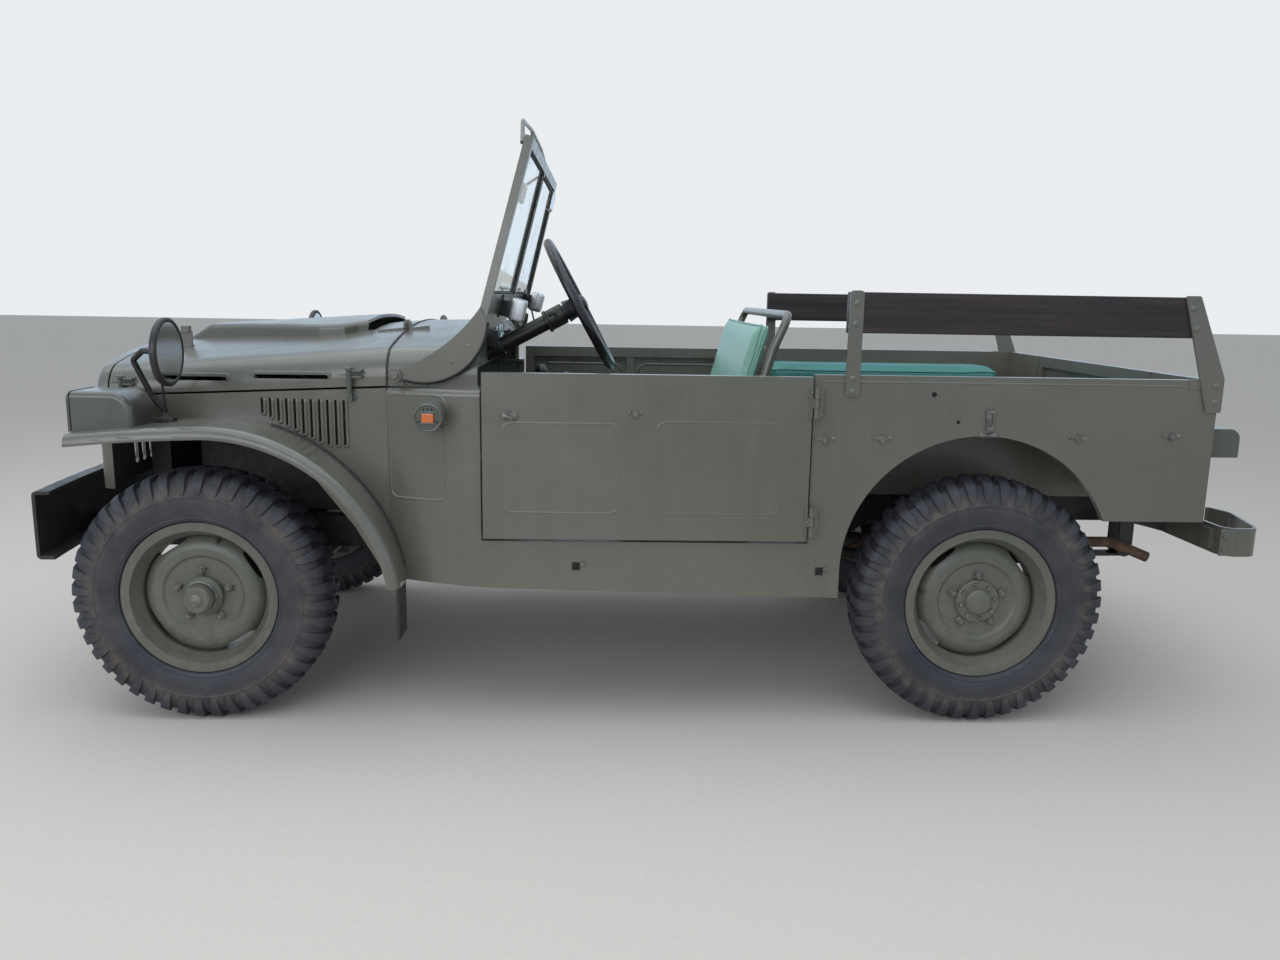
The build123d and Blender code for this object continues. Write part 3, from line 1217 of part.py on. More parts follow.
def bench_frame():
    """Front bench box with the bent tube behind the backrest."""
    shape = block(BENCH_REAR, BENCH_FRONT, -BENCH_HALF, BENCH_HALF, FLOOR_TOP, BENCH_TOP)
    shape -= block(BENCH_REAR + SHEET, BENCH_FRONT - SHEET, SHEET - BENCH_HALF, BENCH_HALF - SHEET,
                   FLOOR_TOP - 1, BENCH_TOP - SHEET)
    y = BENCH_HALF + HOOP_RADIUS - 1
    foot = BENCH_TOP - 70
    high = DOOR_REAR + 36
    tube = pipe_along([
        (hoop_x(foot), -y, foot), (hoop_x(HOOP_BEND), -y, HOOP_BEND), (high, -y, HOOP_TOP),
        (high, y, HOOP_TOP), (hoop_x(HOOP_BEND), y, HOOP_BEND), (hoop_x(foot), y, foot)], HOOP_RADIUS, 34)
    return shape + tube


def bench_cushion():
    """Front seat cushion."""
    return block(BENCH_REAR + 102, BENCH_FRONT + 20, 10 - BENCH_HALF, BENCH_HALF - 10,
                 BENCH_TOP + SEAT_FIT, BENCH_TOP + CUSHION)


def bench_back():
    """Front backrest cushion, standing on the bench box and leaning on the bent tube."""
    cushion = Pos(0, 0, BACK_HEIGHT / 2) * Box(BACK_THICKNESS, 2 * BENCH_HALF - 60, BACK_HEIGHT)
    return Pos(BENCH_REAR + BACK_OFFSET, 0, BACK_FOOT) * Rot(0, -BACK_LEAN, 0) * cushion


def side_cushion():
    """Left cushion on the wheel box."""
    return block(WHEEL_BOX_BACK + 4, WHEEL_BOX_FRONT - 4, WHEEL_BOX_IN - 10, SIDE_IN - 6,
                 WHEEL_BOX_TOP + SEAT_FIT, WHEEL_BOX_TOP + SIDE_CUSHION)


def seat_rail():
    """Left back rail of the side bench: a board on two flat uprights bolted to the body side."""
    front = DOOR_REAR - 81
    shape = block(front - 45, front, SIDE_OUT, SIDE_OUT + UPRIGHT, RAIL_TOP - 58, UPRIGHT_TOP)
    shape += block(TUB_REAR + 88, front - 2, SIDE_OUT - BOARD_THICKNESS, SIDE_OUT, BOARD_LOW, BOARD_HIGH)
    return shape + side_plate(polygon([
        (TUB_REAR - 8, RAIL_TOP - 90), (TUB_REAR + 34, RAIL_TOP - 90), (TUB_REAR + 126, UPRIGHT_TOP),
        (TUB_REAR + 84, UPRIGHT_TOP), (TUB_REAR - 8, RAIL_TOP + 6)]), SIDE_OUT, SIDE_OUT + UPRIGHT)


# Mirrors and lamps
MIRROR_X = FRONT_AXLE + 45
MIRROR_Y = SIDE_OUT - 30
MIRROR_Z = WING_CREST + 194
MIRROR_RADIUS = 93
MIRROR_DISC = 16
MIRROR_TUBE = 8

# Mirror arm from its base on the wing: ahead of the front axle, distance from the centre, above the wing
MIRROR_ARM = (
    (92, SIDE_OUT - 108, -6), (92, SIDE_OUT - 106, 26), (119, SIDE_OUT - 90, 69), (146, SIDE_OUT - 52, 170),
    (110, SIDE_OUT - 34, 197), (62, SIDE_OUT - 30, 192))


def mirror_piece():
    """Left round mirror on a bent tube from the wing."""
    disc = Pos(MIRROR_X, MIRROR_Y, MIRROR_Z) * Rot(0, 90, 0) * Cylinder(MIRROR_RADIUS, MIRROR_DISC)
    disc = fillet(disc.edges().sort_by(Axis.X)[-1], MIRROR_DISC / 2)
    arm = pipe_along([(FRONT_AXLE + x, y, WING_CREST + z) for x, y, z in MIRROR_ARM], MIRROR_TUBE, 12)
    boss = bar_x(MIRROR_Y, WING_CREST + MIRROR_ARM[-1][2], 15, MIRROR_X, MIRROR_X + MIRROR_DISC)
    foot_x, foot_y, _ = MIRROR_ARM[0]
    foot_x += FRONT_AXLE
    base = block(foot_x - 26, foot_x + 26, foot_y - 15, foot_y + 15, WING_CREST - 40, WING_CREST + 4)
    return disc + boss + (arm + base - under_wing())


SIDE_LAMP = (DOOR_FRONT + 135, RAIL_TOP - 128)
SIDE_LAMP_RADIUS = 40


def small_lamps():
    """Left side lamp on the scuttle side and tail lamp on the rear panel."""
    x, z = SIDE_LAMP
    side = bar_y(x, z, SIDE_LAMP_RADIUS, SIDE_OUT - 50, SIDE_OUT + 36)
    side = fillet(side.edges().sort_by(Axis.Y)[-1], 9) - flank_solid(0, WHEEL_CENTRE, RAIL_TOP)
    tail = block(TUB_REAR - 98, TUB_REAR, SIDE_OUT - 118, SIDE_OUT - 33, RAIL_TOP - 222, RAIL_TOP - 140)
    return group([side, fillet(tail.edges().filter_by(Axis.Y).group_by(Axis.Z)[-1].sort_by(Axis.X)[0], 30)])


# Bumpers and hitch
BUMPER_LOW = FRAME_TOP - 50
BUMPER_HIGH = FRAME_TOP + 145
BUMPER_HALF = SIDE_OUT - 25
BUMPER_DEPTH = 50
BUMPER_SWEEP = 50
BUMPER_EDGE = 14


def bumper_plan(setback, half):
    """The bumper's outline from above, both faces swept back towards the ends."""
    front = ThreePointArc((FRONT_END - BUMPER_SWEEP - setback, half), (FRONT_END - setback, 0),
                          (FRONT_END - BUMPER_SWEEP - setback, -half))
    back = FRONT_END - BUMPER_SWEEP - BUMPER_DEPTH
    rear = ThreePointArc((back - setback, -half), (back + BUMPER_SWEEP - setback, 0), (back - setback, half))
    return Curve() + [front, Line(front @ 1, rear @ 0), rear, Line(rear @ 1, front @ 0)]


def front_bumper():
    """Bowed channel bumper open to the rear, on two brackets from the frame."""
    outer = plan_plate(bumper_plan(0, BUMPER_HALF), BUMPER_LOW, BUMPER_HIGH)
    front = outer.faces().sort_by(Axis.X)[-1]
    outer = fillet([e for e in front.edges() if e.length > BUMPER_HALF], BUMPER_EDGE)
    shape = outer - plan_plate(bumper_plan(SHEET, BUMPER_HALF + 1), BUMPER_LOW + SHEET, BUMPER_HIGH - SHEET)
    for side in (-1, 1):
        shape += side_block(side, FRAME_NOSE, FRONT_END - SHEET - BUMPER_SWEEP / 3, RAIL_HALF_GAP, RAIL_OUT,
                            BUMPER_LOW + SHEET, FRAME_TOP)
    return shape


# Bumperette outline from above: distance ahead of the body's rear face, half width, corner radius
LOOP_POINTS = ((-120, RAIL_OUT, 0), (-120, 648, 46), (-226, 648, 50), (-288, 412, 70), (-262, RAIL_OUT, 0))
LOOP_LOW = REAR_SKIRT_LOW - 122
LOOP_HIGH = REAR_SKIRT_LOW - 37
LOOP_BAND = 9


def loop_band():
    """Left bumperette: a flat band bent into a loop, with its splice bracket."""
    face = make_face(polygon([(TUB_REAR + x, y) for x, y, radius in LOOP_POINTS]))
    for x, y, radius in LOOP_POINTS:
        if radius:
            corner = face.vertices().sort_by_distance((TUB_REAR + x, y, 0))[0]
            face = fillet(corner, radius)
    hollow = offset(face, amount=-LOOP_BAND) + Pos(TUB_REAR - 190, RAIL_OUT) * Rectangle(120, 4 * LOOP_BAND)
    band = Pos(0, 0, LOOP_LOW) * extrude(face - hollow, LOOP_HIGH - LOOP_LOW)
    splice = block(TUB_REAR - 121, TUB_REAR - 108, 556, 596, LOOP_LOW + 12, LOOP_HIGH - 12)
    return band + splice


HITCH_BORE = 16
HITCH_X = REAR_END + 34
HITCH_Z = RAISED_TOP - 95
HITCH_JAW = 50
HITCH_PLATE = 16
HITCH_HALF = 34


def tow_hitch():
    """Tow jaw of two plates with an upright bore, on a back plate on the last cross member."""
    back = TUB_REAR + 40
    shape = block(back - 14, back, -70, 70, RAISED_TOP - 90, REAR_SKIRT_LOW - SEAM)
    low = HITCH_Z - HITCH_JAW / 2 - HITCH_PLATE
    high = HITCH_Z + HITCH_JAW / 2
    for z in (low, high):
        shape += block(HITCH_X, back - 10, -HITCH_HALF, HITCH_HALF, z, z + HITCH_PLATE)
        shape += bar_z(HITCH_X, 0, HITCH_HALF, z, z + HITCH_PLATE)
    shape += block(HITCH_X + 120, back - 10, -HITCH_HALF, HITCH_HALF, low, high + HITCH_PLATE)
    return shape - bar_z(HITCH_X, 0, HITCH_BORE, low - 1, high + HITCH_PLATE + 1)


# Wheels: name, axle, side, hub, angle of the first disc window
WHEELS = (
    ("front_left", FRONT_AXLE, 1, FRONT_HUB, 58),
    ("front_right", FRONT_AXLE, -1, FRONT_HUB, 58),
    ("rear_left", REAR_AXLE, 1, REAR_HUB, 50),
    ("rear_right", REAR_AXLE, -1, REAR_HUB, 50),
)


def save_chassis():
    """Write the nodes of the frame, the axles, the drive and the wheels."""
    save(build_frame() + both(spring_hangers()), "frame")
    save_both(leaf_spring(), "rear_springs")
    save(rear_axle(), "rear_axle")
    save_both(front_suspension(), "front_suspension")
    save_pair(knuckle(), "front_knuckle")
    save(front_drive(), "front_axle_drive")
    save(track_rod(), "track_rod")
    save(engine(), "engine")
    save(gearbox() + propshafts(), "transmission")
    save(exhaust(), "exhaust")
    for name, x, side, hub, turn in WHEELS:
        save(Pos(x, 0, 0) * tyre(side * WHEEL_PLANE), "tyre_" + name)
        save(Pos(x, 0, 0) * wheel(side * WHEEL_PLANE, side, hub, turn), "wheel_" + name)
    save(radiator(), "radiator")
    save(front_bumper(), "front_bumper")
    save_both(loop_band(), "rear_bumper")
    save(tow_hitch(), "tow_hitch")


def save_body():
    """Write the nodes of the body and what is fixed to it."""
    save(body_floor() + bulkhead(), "body_floor")
    save_both(wheel_box(), "wheel_boxes")
    save_both(rear_side() + rear_side_hinges(), "rear_sides")
    save(bonnet(), "bonnet")
    save(scuttle(), "scuttle")
    save_both(engine_side(), "engine_sides")
    save_both(cowl_side() + screen_pivot(), "cowl_sides")
    save(nose_panel(), "nose_panel")
    save_both(wing(), "wings")
    save_both(headlamp(), "headlamps")
    save_both(headlamp_glass(), "headlamp_glass")
    save_both(mud_flap(), "mud_flaps")
    save_pair(door(), "door")
    save(rear_corners(), "rear_panel")
    save(tailgate(), "tailgate")
    save(windscreen(), "windscreen_frame")
    save(windscreen_glass(), "windscreen_glass")
    save_both(mirror_piece(), "mirrors")
    save_both(small_lamps(), "small_lamps")


def save_inside():
    """Write the nodes of the steering and the benches."""
    save(steering_column(), "steering_column")
    save(steering_wheel(), "steering_wheel")
    save(bench_frame(), "front_bench_frame")
    save(bench_cushion(), "front_bench_cushion")
    save(bench_back(), "front_bench_backrest")
    save_both(side_cushion(), "side_bench_cushions")
    save_both(seat_rail(), "side_bench_rails")


save_chassis()
save_body()
save_inside()
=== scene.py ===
# %% [markdown]
# An open army 4x4 car is built here around a fixed frame. The frame holds every rigid piece at its real
# size, so this script only adds what the eye wants: finishes, tread, fittings, cushions. All lengths are in
# metres, X points forward, Y to the car's left and Z up.

# %% Load the fixed frame and keep its box
import math

import bmesh
import bpy
from mathutils import Matrix, Vector


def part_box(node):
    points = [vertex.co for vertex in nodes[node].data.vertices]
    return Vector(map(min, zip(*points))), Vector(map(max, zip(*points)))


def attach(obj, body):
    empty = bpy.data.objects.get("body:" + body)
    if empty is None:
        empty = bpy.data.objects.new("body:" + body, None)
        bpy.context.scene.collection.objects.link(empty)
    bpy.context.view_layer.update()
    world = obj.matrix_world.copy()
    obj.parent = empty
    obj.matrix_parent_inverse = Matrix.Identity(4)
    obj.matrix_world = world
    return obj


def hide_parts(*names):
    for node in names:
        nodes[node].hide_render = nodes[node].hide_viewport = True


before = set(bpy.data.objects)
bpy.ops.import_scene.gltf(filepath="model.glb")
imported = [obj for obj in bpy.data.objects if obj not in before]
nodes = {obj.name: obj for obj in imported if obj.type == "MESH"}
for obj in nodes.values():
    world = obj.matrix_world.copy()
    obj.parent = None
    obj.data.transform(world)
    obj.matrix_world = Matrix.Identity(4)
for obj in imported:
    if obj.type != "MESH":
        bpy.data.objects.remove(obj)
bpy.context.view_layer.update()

# %% [markdown]
# The camera comes before everything else, because each piece is judged from where the photograph was taken.
# A plain way is to aim a camera at the middle of the car. Here its place and its three turns were solved
# from known points, such as the wheel centres and door corners, so that the wide lens bends the perspective
# as the real one did.

# %% Camera at the photograph's view
CAMERA_PLACE = Vector((0.168, 3.47, 1.236))
CAMERA_YAW = math.radians(1.82)
CAMERA_PITCH = math.radians(10.45)
CAMERA_ROLL = math.radians(-0.96)
PHOTO_WIDTH = 1280
FOCAL_PIXELS = 998.9
SENSOR = 36.0


def swung(first, second, angle):
    """Two unit vectors turned within their own plane."""
    return (first * math.cos(angle) + second * math.sin(angle),
            second * math.cos(angle) - first * math.sin(angle))


forward, right = swung(Vector((0, -1, 0)), Vector((-1, 0, 0)), CAMERA_YAW)
up, forward = swung(Vector((0, 0, 1)), forward, CAMERA_PITCH)
up, right = swung(up, right, CAMERA_ROLL)
camera_data = bpy.data.cameras.new("camera")
camera_data.sensor_width = SENSOR
camera_data.lens = FOCAL_PIXELS * SENSOR / PHOTO_WIDTH
camera = bpy.data.objects.new("camera", camera_data)
bpy.context.scene.collection.objects.link(camera)
camera.matrix_world = Matrix.Translation(CAMERA_PLACE) @ Matrix((right, up, -forward)).transposed().to_4x4()
bpy.context.scene.camera = camera
print("camera lens", round(camera_data.lens, 1), "mm")

# %% [markdown]
# A procedural material is a small graph of nodes. Drawing each graph by hand is slow to read, so short
# helpers add a node with its settings, step a mask between two levels and mix two colours. Every finish on
# the car is made with them. Sizes inside a finish are real: a bump of 0.0001 is a tenth of a millimetre.

# %% Helpers for finishes
def new_material(name):
    """An empty material with its main shader."""
    material = bpy.data.materials.new(name)
    material.use_nodes = True
    tree = material.node_tree
    return material, tree, tree.nodes["Principled BSDF"]


def node(tree, kind, links=None, **values):
    """One node, with its own settings and input values set by name, and its inputs linked."""
    made = tree.nodes.new("ShaderNode" + kind)
    for name, value in values.items():
        if hasattr(made, name):
            setattr(made, name, value)
        else:
            made.inputs[name.replace("_", " ")].default_value = value
    for name, output in (links or {}).items():
        tree.links.new(output, made.inputs[name])
    return made


def noise(tree, scale, detail=4.0, stretch=None, roughness=0.55):
    """Noise in the piece's own space, stretched along chosen axes if asked."""
    place = node(tree, "TexCoord").outputs["Object"]
    if stretch:
        place = node(tree, "Mapping", {"Vector": place}, Scale=stretch).outputs["Vector"]
    made = node(tree, "TexNoise", {"Vector": place}, Scale=scale, Detail=detail, Roughness=roughness)
    return made.outputs["Fac"]


def ramp(tree, fac, low, high, start=0.0, end=1.0):
    """A smooth step of a mask between two levels."""
    made = node(tree, "MapRange", {"Value": fac}, interpolation_type="SMOOTHSTEP")
    made.inputs["From Min"].default_value = low
    made.inputs["From Max"].default_value = high
    made.inputs["To Min"].default_value = start
    made.inputs["To Max"].default_value = end
    return made.outputs["Result"]


def blend_colour(tree, fac, first, second):
    """Mix two colours, each a tuple or another node's output."""
    made = node(tree, "Mix", {"Factor": fac}, data_type="RGBA")
    for socket, colour in ((made.inputs[6], first), (made.inputs[7], second)):
        if isinstance(colour, tuple):
            socket.default_value = (*colour, 1.0)
        else:
            tree.links.new(colour, socket)
    return made.outputs[2]


def bump(tree, height, distance, strength=1.0, below=None):
    """Relief from a mask, with its real height, over an earlier relief."""
    made = node(tree, "Bump", {"Height": height}, Strength=strength, Distance=distance)
    if below:
        tree.links.new(below, made.inputs["Normal"])
    return made.outputs["Normal"]


def product(tree, first, second):
    """Two masks multiplied."""
    return node(tree, "Math", {0: first, 1: second}, operation="MULTIPLY").outputs[0]


def coordinate(tree, axis):
    """One coordinate of the point in the piece's own space."""
    place = node(tree, "TexCoord").outputs["Object"]
    return node(tree, "SeparateXYZ", {"Vector": place}).outputs[axis]


def facing_up(tree):
    """A mask of what faces the sky, where dust settles."""
    normal = node(tree, "TexCoord").outputs["Normal"]
    return ramp(tree, node(tree, "SeparateXYZ", {"Vector": normal}).outputs["Z"], 0.35, 0.95)


def soft_edges(tree, radius):
    """Normals that run softly round sharp edges, and a mask of those edges where paint wears first."""
    soft = node(tree, "Bevel", samples=4, Radius=radius).outputs["Normal"]
    flat = node(tree, "NewGeometry").outputs["Normal"]
    match = node(tree, "VectorMath", {0: soft, 1: flat}, operation="DOT_PRODUCT").outputs["Value"]
    return soft, ramp(tree, match, 0.985, 0.86)


# %% [markdown]
# The olive paint is the largest surface. On the real car it is sprayed semi-gloss over old sheet metal, so
# it has a soft orange peel, faint waves that bend reflections, thin streaks where rain ran down, dust low
# down, and bare or chalky edges. One flat colour would look like plastic, so each of these is its own mask
# with its own scale.

# %% Painted metal
OLIVE = (0.0968, 0.1006, 0.0816)
OLIVE_FADED = (0.1298, 0.1295, 0.1115)
OLIVE_WORN = (0.2, 0.195, 0.165)
ROAD_DUST = (0.25, 0.225, 0.18)
DUST_TOP = 0.62
DUST_FOOT = 0.2
EDGE_RADIUS = 0.0022


def paint_finish(name, colour, faded, dust=0.3, gloss=0.3, wave=0.0011, worn=OLIVE_WORN, chips=0.55,
                 coat=0.0):
    """Sprayed paint with faded patches, rain streaks, dust, worn edges, orange peel and panel waves."""
    material, tree, shader = new_material(name)
    soft, edges = soft_edges(tree, EDGE_RADIUS)
    patches = ramp(tree, noise(tree, 1.3, 5), 0.34, 0.72)
    streaks = ramp(tree, noise(tree, 26, 4, (1, 1, 0.07)), 0.42, 0.8, 0, 0.45)
    tone = blend_colour(tree, patches, colour, faded)
    tone = blend_colour(tree, streaks, tone, faded)
    height = ramp(tree, coordinate(tree, "Z"), DUST_TOP, DUST_FOOT)
    speckle = ramp(tree, noise(tree, 30, 8, roughness=0.7), 0.36, 0.78, 0, dust)
    tone = blend_colour(tree, product(tree, height, speckle), tone, ROAD_DUST)
    settled = product(tree, facing_up(tree), ramp(tree, noise(tree, 7, 7), 0.4, 0.85, 0, dust * 0.35))
    tone = blend_colour(tree, settled, tone, ROAD_DUST)
    wear = product(tree, edges, ramp(tree, noise(tree, 34, 6), 0.44, 0.62, 0, chips))
    tone = blend_colour(tree, wear, tone, worn)
    tree.links.new(tone, shader.inputs["Base Color"])
    rough = ramp(tree, noise(tree, 11, 6), 0.3, 0.75, gloss - 0.05, gloss + 0.13)
    tree.links.new(rough, shader.inputs["Roughness"])
    shader.inputs["Coat Weight"].default_value = coat
    shader.inputs["Coat Roughness"].default_value = 0.2
    relief = bump(tree, noise(tree, 4.5, 2), wave, 0.5, soft)
    relief = bump(tree, noise(tree, 420, 2), 0.00005, 0.6, relief)
    tree.links.new(relief, shader.inputs["Normal"])
    return material


body_paint = paint_finish("body_paint", OLIVE, OLIVE_FADED, coat=0.5)
wheel_paint = paint_finish("wheel_paint", (0.092, 0.101, 0.082), (0.135, 0.14, 0.12),
                           dust=0.4, gloss=0.36, wave=0.0002)
lamp_paint = paint_finish("lamp_paint", (0.064, 0.071, 0.06), (0.09, 0.096, 0.08),
                          dust=0.2, gloss=0.3, wave=0.0003, coat=0.5)
chassis_black = paint_finish("chassis_black", (0.011, 0.011, 0.011), (0.022, 0.021, 0.019),
                             dust=0.45, gloss=0.42, worn=(0.06, 0.055, 0.05))
print("paints:", body_paint.name, wheel_paint.name, lamp_paint.name, chassis_black.name)

# %% [markdown]
# Rubber, wood, vinyl, castings and rust are told apart by their own grain. A tyre is dark grey with brown
# dust, the bench boards are nearly black with long scratches, and the vinyl has a fine pebble. Grain that
# runs one way comes from noise stretched along that axis. One function with two tones and two grain sizes
# makes them all.

# %% Rubber, wood, vinyl, casting and rust
def grainy_finish(name, dark, pale, scale, rough, depth, stretch=None, spread=(0.35, 0.7), fine=None,
                  **settings):
    """A finish of two tones with its own grain as colour and relief."""
    material, tree, shader = new_material(name)
    grain = noise(tree, scale, 8, stretch, 0.65)
    tree.links.new(blend_colour(tree, ramp(tree, grain, *spread), dark, pale), shader.inputs["Base Color"])
    tree.links.new(ramp(tree, grain, 0.3, 0.75, rough - 0.06, rough + 0.08), shader.inputs["Roughness"])
    soft, _ = soft_edges(tree, 0.0015)
    relief = bump(tree, grain, depth, 0.6, soft)
    if fine:
        relief = bump(tree, noise(tree, fine[0], 3), fine[1], 0.6, relief)
    tree.links.new(relief, shader.inputs["Normal"])
    for socket, value in settings.items():
        shader.inputs[socket.replace("_", " ")].default_value = value
    return material


black_rubber = grainy_finish("black_rubber", (0.012, 0.012, 0.013), (0.026, 0.025, 0.024),
                             scale=30, rough=0.6, depth=0.0003)
black_plastic = grainy_finish("black_plastic", (0.01, 0.01, 0.013), (0.017, 0.017, 0.021),
                              scale=12, rough=0.26, depth=0.00003)
pale_vinyl = grainy_finish("pale_vinyl", (0.19, 0.42, 0.345), (0.26, 0.48, 0.41),
                           scale=3, rough=0.36, depth=0.0004, fine=(650, 0.00012))
teal_vinyl = grainy_finish("teal_vinyl", (0.04, 0.2, 0.185), (0.06, 0.26, 0.24),
                           scale=3, rough=0.4, depth=0.0004, fine=(650, 0.00012))
piping_vinyl = grainy_finish("piping_vinyl", (0.15, 0.36, 0.3), (0.19, 0.42, 0.35),
                             scale=20, rough=0.34, depth=0.0002)
dark_wood = grainy_finish("dark_wood", (0.013, 0.008, 0.008), (0.056, 0.034, 0.03),
                          scale=30, rough=0.36, depth=0.0007, stretch=(0.05, 1, 1), spread=(0.42, 0.8),
                          fine=(260, 0.0002))
rusty_steel = grainy_finish("rusty_steel", (0.045, 0.021, 0.012), (0.15, 0.09, 0.055),
                            scale=30, rough=0.78, depth=0.0004)
grey_casting = grainy_finish("grey_casting", (0.05, 0.052, 0.048), (0.1, 0.096, 0.085),
                             scale=26, rough=0.55, depth=0.0006, Metallic=0.3)
worn_steel = grainy_finish("worn_steel", (0.11, 0.112, 0.1), (0.24, 0.235, 0.21),
                           scale=60, rough=0.4, depth=0.0002, Metallic=0.6)
bright_metal = grainy_finish("bright_metal", (0.55, 0.56, 0.57), (0.7, 0.71, 0.72),
                             scale=30, rough=0.3, depth=0.00005, Metallic=1.0)
# Near black: painted shade inside small holes; the lamp screws and the headlamp door's joint line share it.
hole_shade_black = grainy_finish("hole_shade_black", (0.003, 0.003, 0.003), (0.006, 0.006, 0.006),
                          scale=30, rough=0.8, depth=0.0001)
white_dial = grainy_finish("white_dial", (0.55, 0.55, 0.5), (0.65, 0.65, 0.6),
                           scale=30, rough=0.4, depth=0.00005)
print("grained finishes:", len(bpy.data.materials) - 4)

# %% [markdown]
# Tyre rubber changes with the distance from the axle: the side is darkest, tan dust packs around the foot
# of the lugs, and the tread is scuffed grey. Each tyre is a piece of its own whose zero is on its axle, so
# that distance is simply the length of the point across the axle, and one finish serves four tyres.

# %% Tyre rubber
TYRE_DARK = (0.024, 0.0252, 0.035)
TYRE_GREY = (0.05, 0.0515, 0.0638)
TYRE_DUST = (0.15, 0.125, 0.092)
TYRE_SCUFF = (0.12, 0.11, 0.1)
DUST_RING = 0.302
DUST_SPREAD = 0.035


def tyre_finish():
    """Rubber with scuffs, and dust in a ring at the foot of the lugs."""
    material, tree, shader = new_material("tyre_rubber")
    across_axle = node(tree, "CombineXYZ", {"X": coordinate(tree, "X"), "Z": coordinate(tree, "Z")})
    distance = node(tree, "VectorMath", {0: across_axle.outputs[0]}, operation="LENGTH").outputs["Value"]
    away = node(tree, "Math", {0: distance}, operation="SUBTRACT")
    away.inputs[1].default_value = DUST_RING
    away = node(tree, "Math", {0: away.outputs[0]}, operation="ABSOLUTE").outputs[0]
    ring = ramp(tree, away, DUST_SPREAD, 0.0)
    tone = blend_colour(tree, ramp(tree, noise(tree, 9, 7), 0.3, 0.75), TYRE_DARK, TYRE_GREY)
    dust = product(tree, ring, ramp(tree, noise(tree, 20, 8, roughness=0.7), 0.35, 0.75, 0.05, 0.7))
    tone = blend_colour(tree, dust, tone, TYRE_DUST)
    soft, edges = soft_edges(tree, 0.002)
    scuffs = product(tree, edges, ramp(tree, noise(tree, 40, 5), 0.4, 0.7, 0, 0.4))
    tone = blend_colour(tree, scuffs, tone, TYRE_SCUFF)
    tree.links.new(tone, shader.inputs["Base Color"])
    tree.links.new(ramp(tree, noise(tree, 24, 6), 0.3, 0.7, 0.52, 0.74), shader.inputs["Roughness"])
    relief = bump(tree, noise(tree, 120, 6), 0.0003, 0.6, soft)
    tree.links.new(relief, shader.inputs["Normal"])
    return material


tyre_rubber = tyre_finish()
print("dust ring of the tyres at", DUST_RING, "m from the axle")

# %% [markdown]
# Glass is a thin clear sheet. A full glass shader darkens a thin pane, because light is bent twice by a
# solid, so the refraction is weak and a faint film of dust roughens it. Lamp lenses are coloured plastic
# with fine upright flutes, and the mirror is silvered metal behind glass, which a polished metal shader
# gives by itself.

# %% Glass, lamp lenses and mirror
def glass_finish(name, colour, rough, bend=1.2):
    """Thin clear glass with a little dust."""
    material, tree, shader = new_material(name)
    shader.inputs["Base Color"].default_value = (*colour, 1)
    shader.inputs["Transmission Weight"].default_value = 1.0
    shader.inputs["IOR"].default_value = bend
    film = ramp(tree, noise(tree, 12, 6), 0.45, 0.8, rough, rough + 0.12)
    tree.links.new(film, shader.inputs["Roughness"])
    return material


def lens_finish(name, dark, pale, flutes, metallic=0.0):
    """A moulded lens: coloured, glossy and fluted, with painted shade and highlight across the flutes."""
    material, tree, shader = new_material(name)
    place = node(tree, "TexCoord").outputs["Object"]
    wave = node(tree, "TexWave", {"Vector": place}, Scale=flutes, Distortion=0.3,
                bands_direction="Y" if metallic else "X")
    rib = wave.outputs["Fac"]
    # The colour steps from dark to pale across each flute: painted shade and highlight of the flutes.
    tree.links.new(blend_colour(tree, ramp(tree, rib, 0.2, 0.8), dark, pale), shader.inputs["Base Color"])
    tree.links.new(ramp(tree, noise(tree, 40, 4), 0.3, 0.7, 0.08, 0.2), shader.inputs["Roughness"])
    tree.links.new(bump(tree, rib, 0.0006, 0.7), shader.inputs["Normal"])
    shader.inputs["Coat Weight"].default_value = 1.0
    shader.inputs["Coat Roughness"].default_value = 0.05
    shader.inputs["Metallic"].default_value = metallic
    return material


clear_glass = glass_finish("clear_glass", (0.93, 0.97, 0.95), rough=0.0)
# The headlamp glass is grey and partly metallic, with the same painted shade and highlight across its flutes.
lamp_glass = lens_finish("lamp_glass", (0.24, 0.26, 0.27), (0.5, 0.52, 0.53), flutes=60, metallic=0.7)
amber_lens = lens_finish("amber_lens", (0.5, 0.09, 0.015), (0.72, 0.2, 0.04), flutes=90)
red_lens = lens_finish("red_lens", (0.3, 0.01, 0.01), (0.5, 0.03, 0.02), flutes=90)
mirror_face = grainy_finish("mirror_face", (0.5, 0.51, 0.53), (0.62, 0.63, 0.66),
                            scale=8, rough=0.1, depth=0.00002, Metallic=1.0)
print("lens finishes:", lamp_glass.name, amber_lens.name, red_lens.name)

# %% [markdown]
# Small fittings, such as rivets, hinges, lamps and tread, are turned, bent or cut on the real car. Blender
# could add ready-made primitives, but their edges would be razor sharp and each would be one more object.
# Instead four short functions add a turned, a swept, a bevelled or a cut-out form to one shared mesh, so
# one piece can hold many parts.

# %% Helpers for forms
def across(axis):
    """Two unit vectors square to an axis."""
    axis = Vector(axis).normalized()
    guide = Vector((0, 0, 1)) if abs(axis.z) < 0.9 else Vector((1, 0, 0))
    first = (guide - axis * guide.dot(axis)).normalized()
    return first, axis.cross(first)


def join_rings(form, low, high):
    """Faces between two rings of vertices, or between a ring and a point."""
    count = max(len(low), len(high))
    for k in range(count):
        near, far = k, (k + 1) % count
        if len(low) == 1:
            form.faces.new((low[0], high[near], high[far]))
        elif len(high) == 1:
            form.faces.new((low[near], low[far], high[0]))
        else:
            form.faces.new((low[near], low[far], high[far], high[near]))


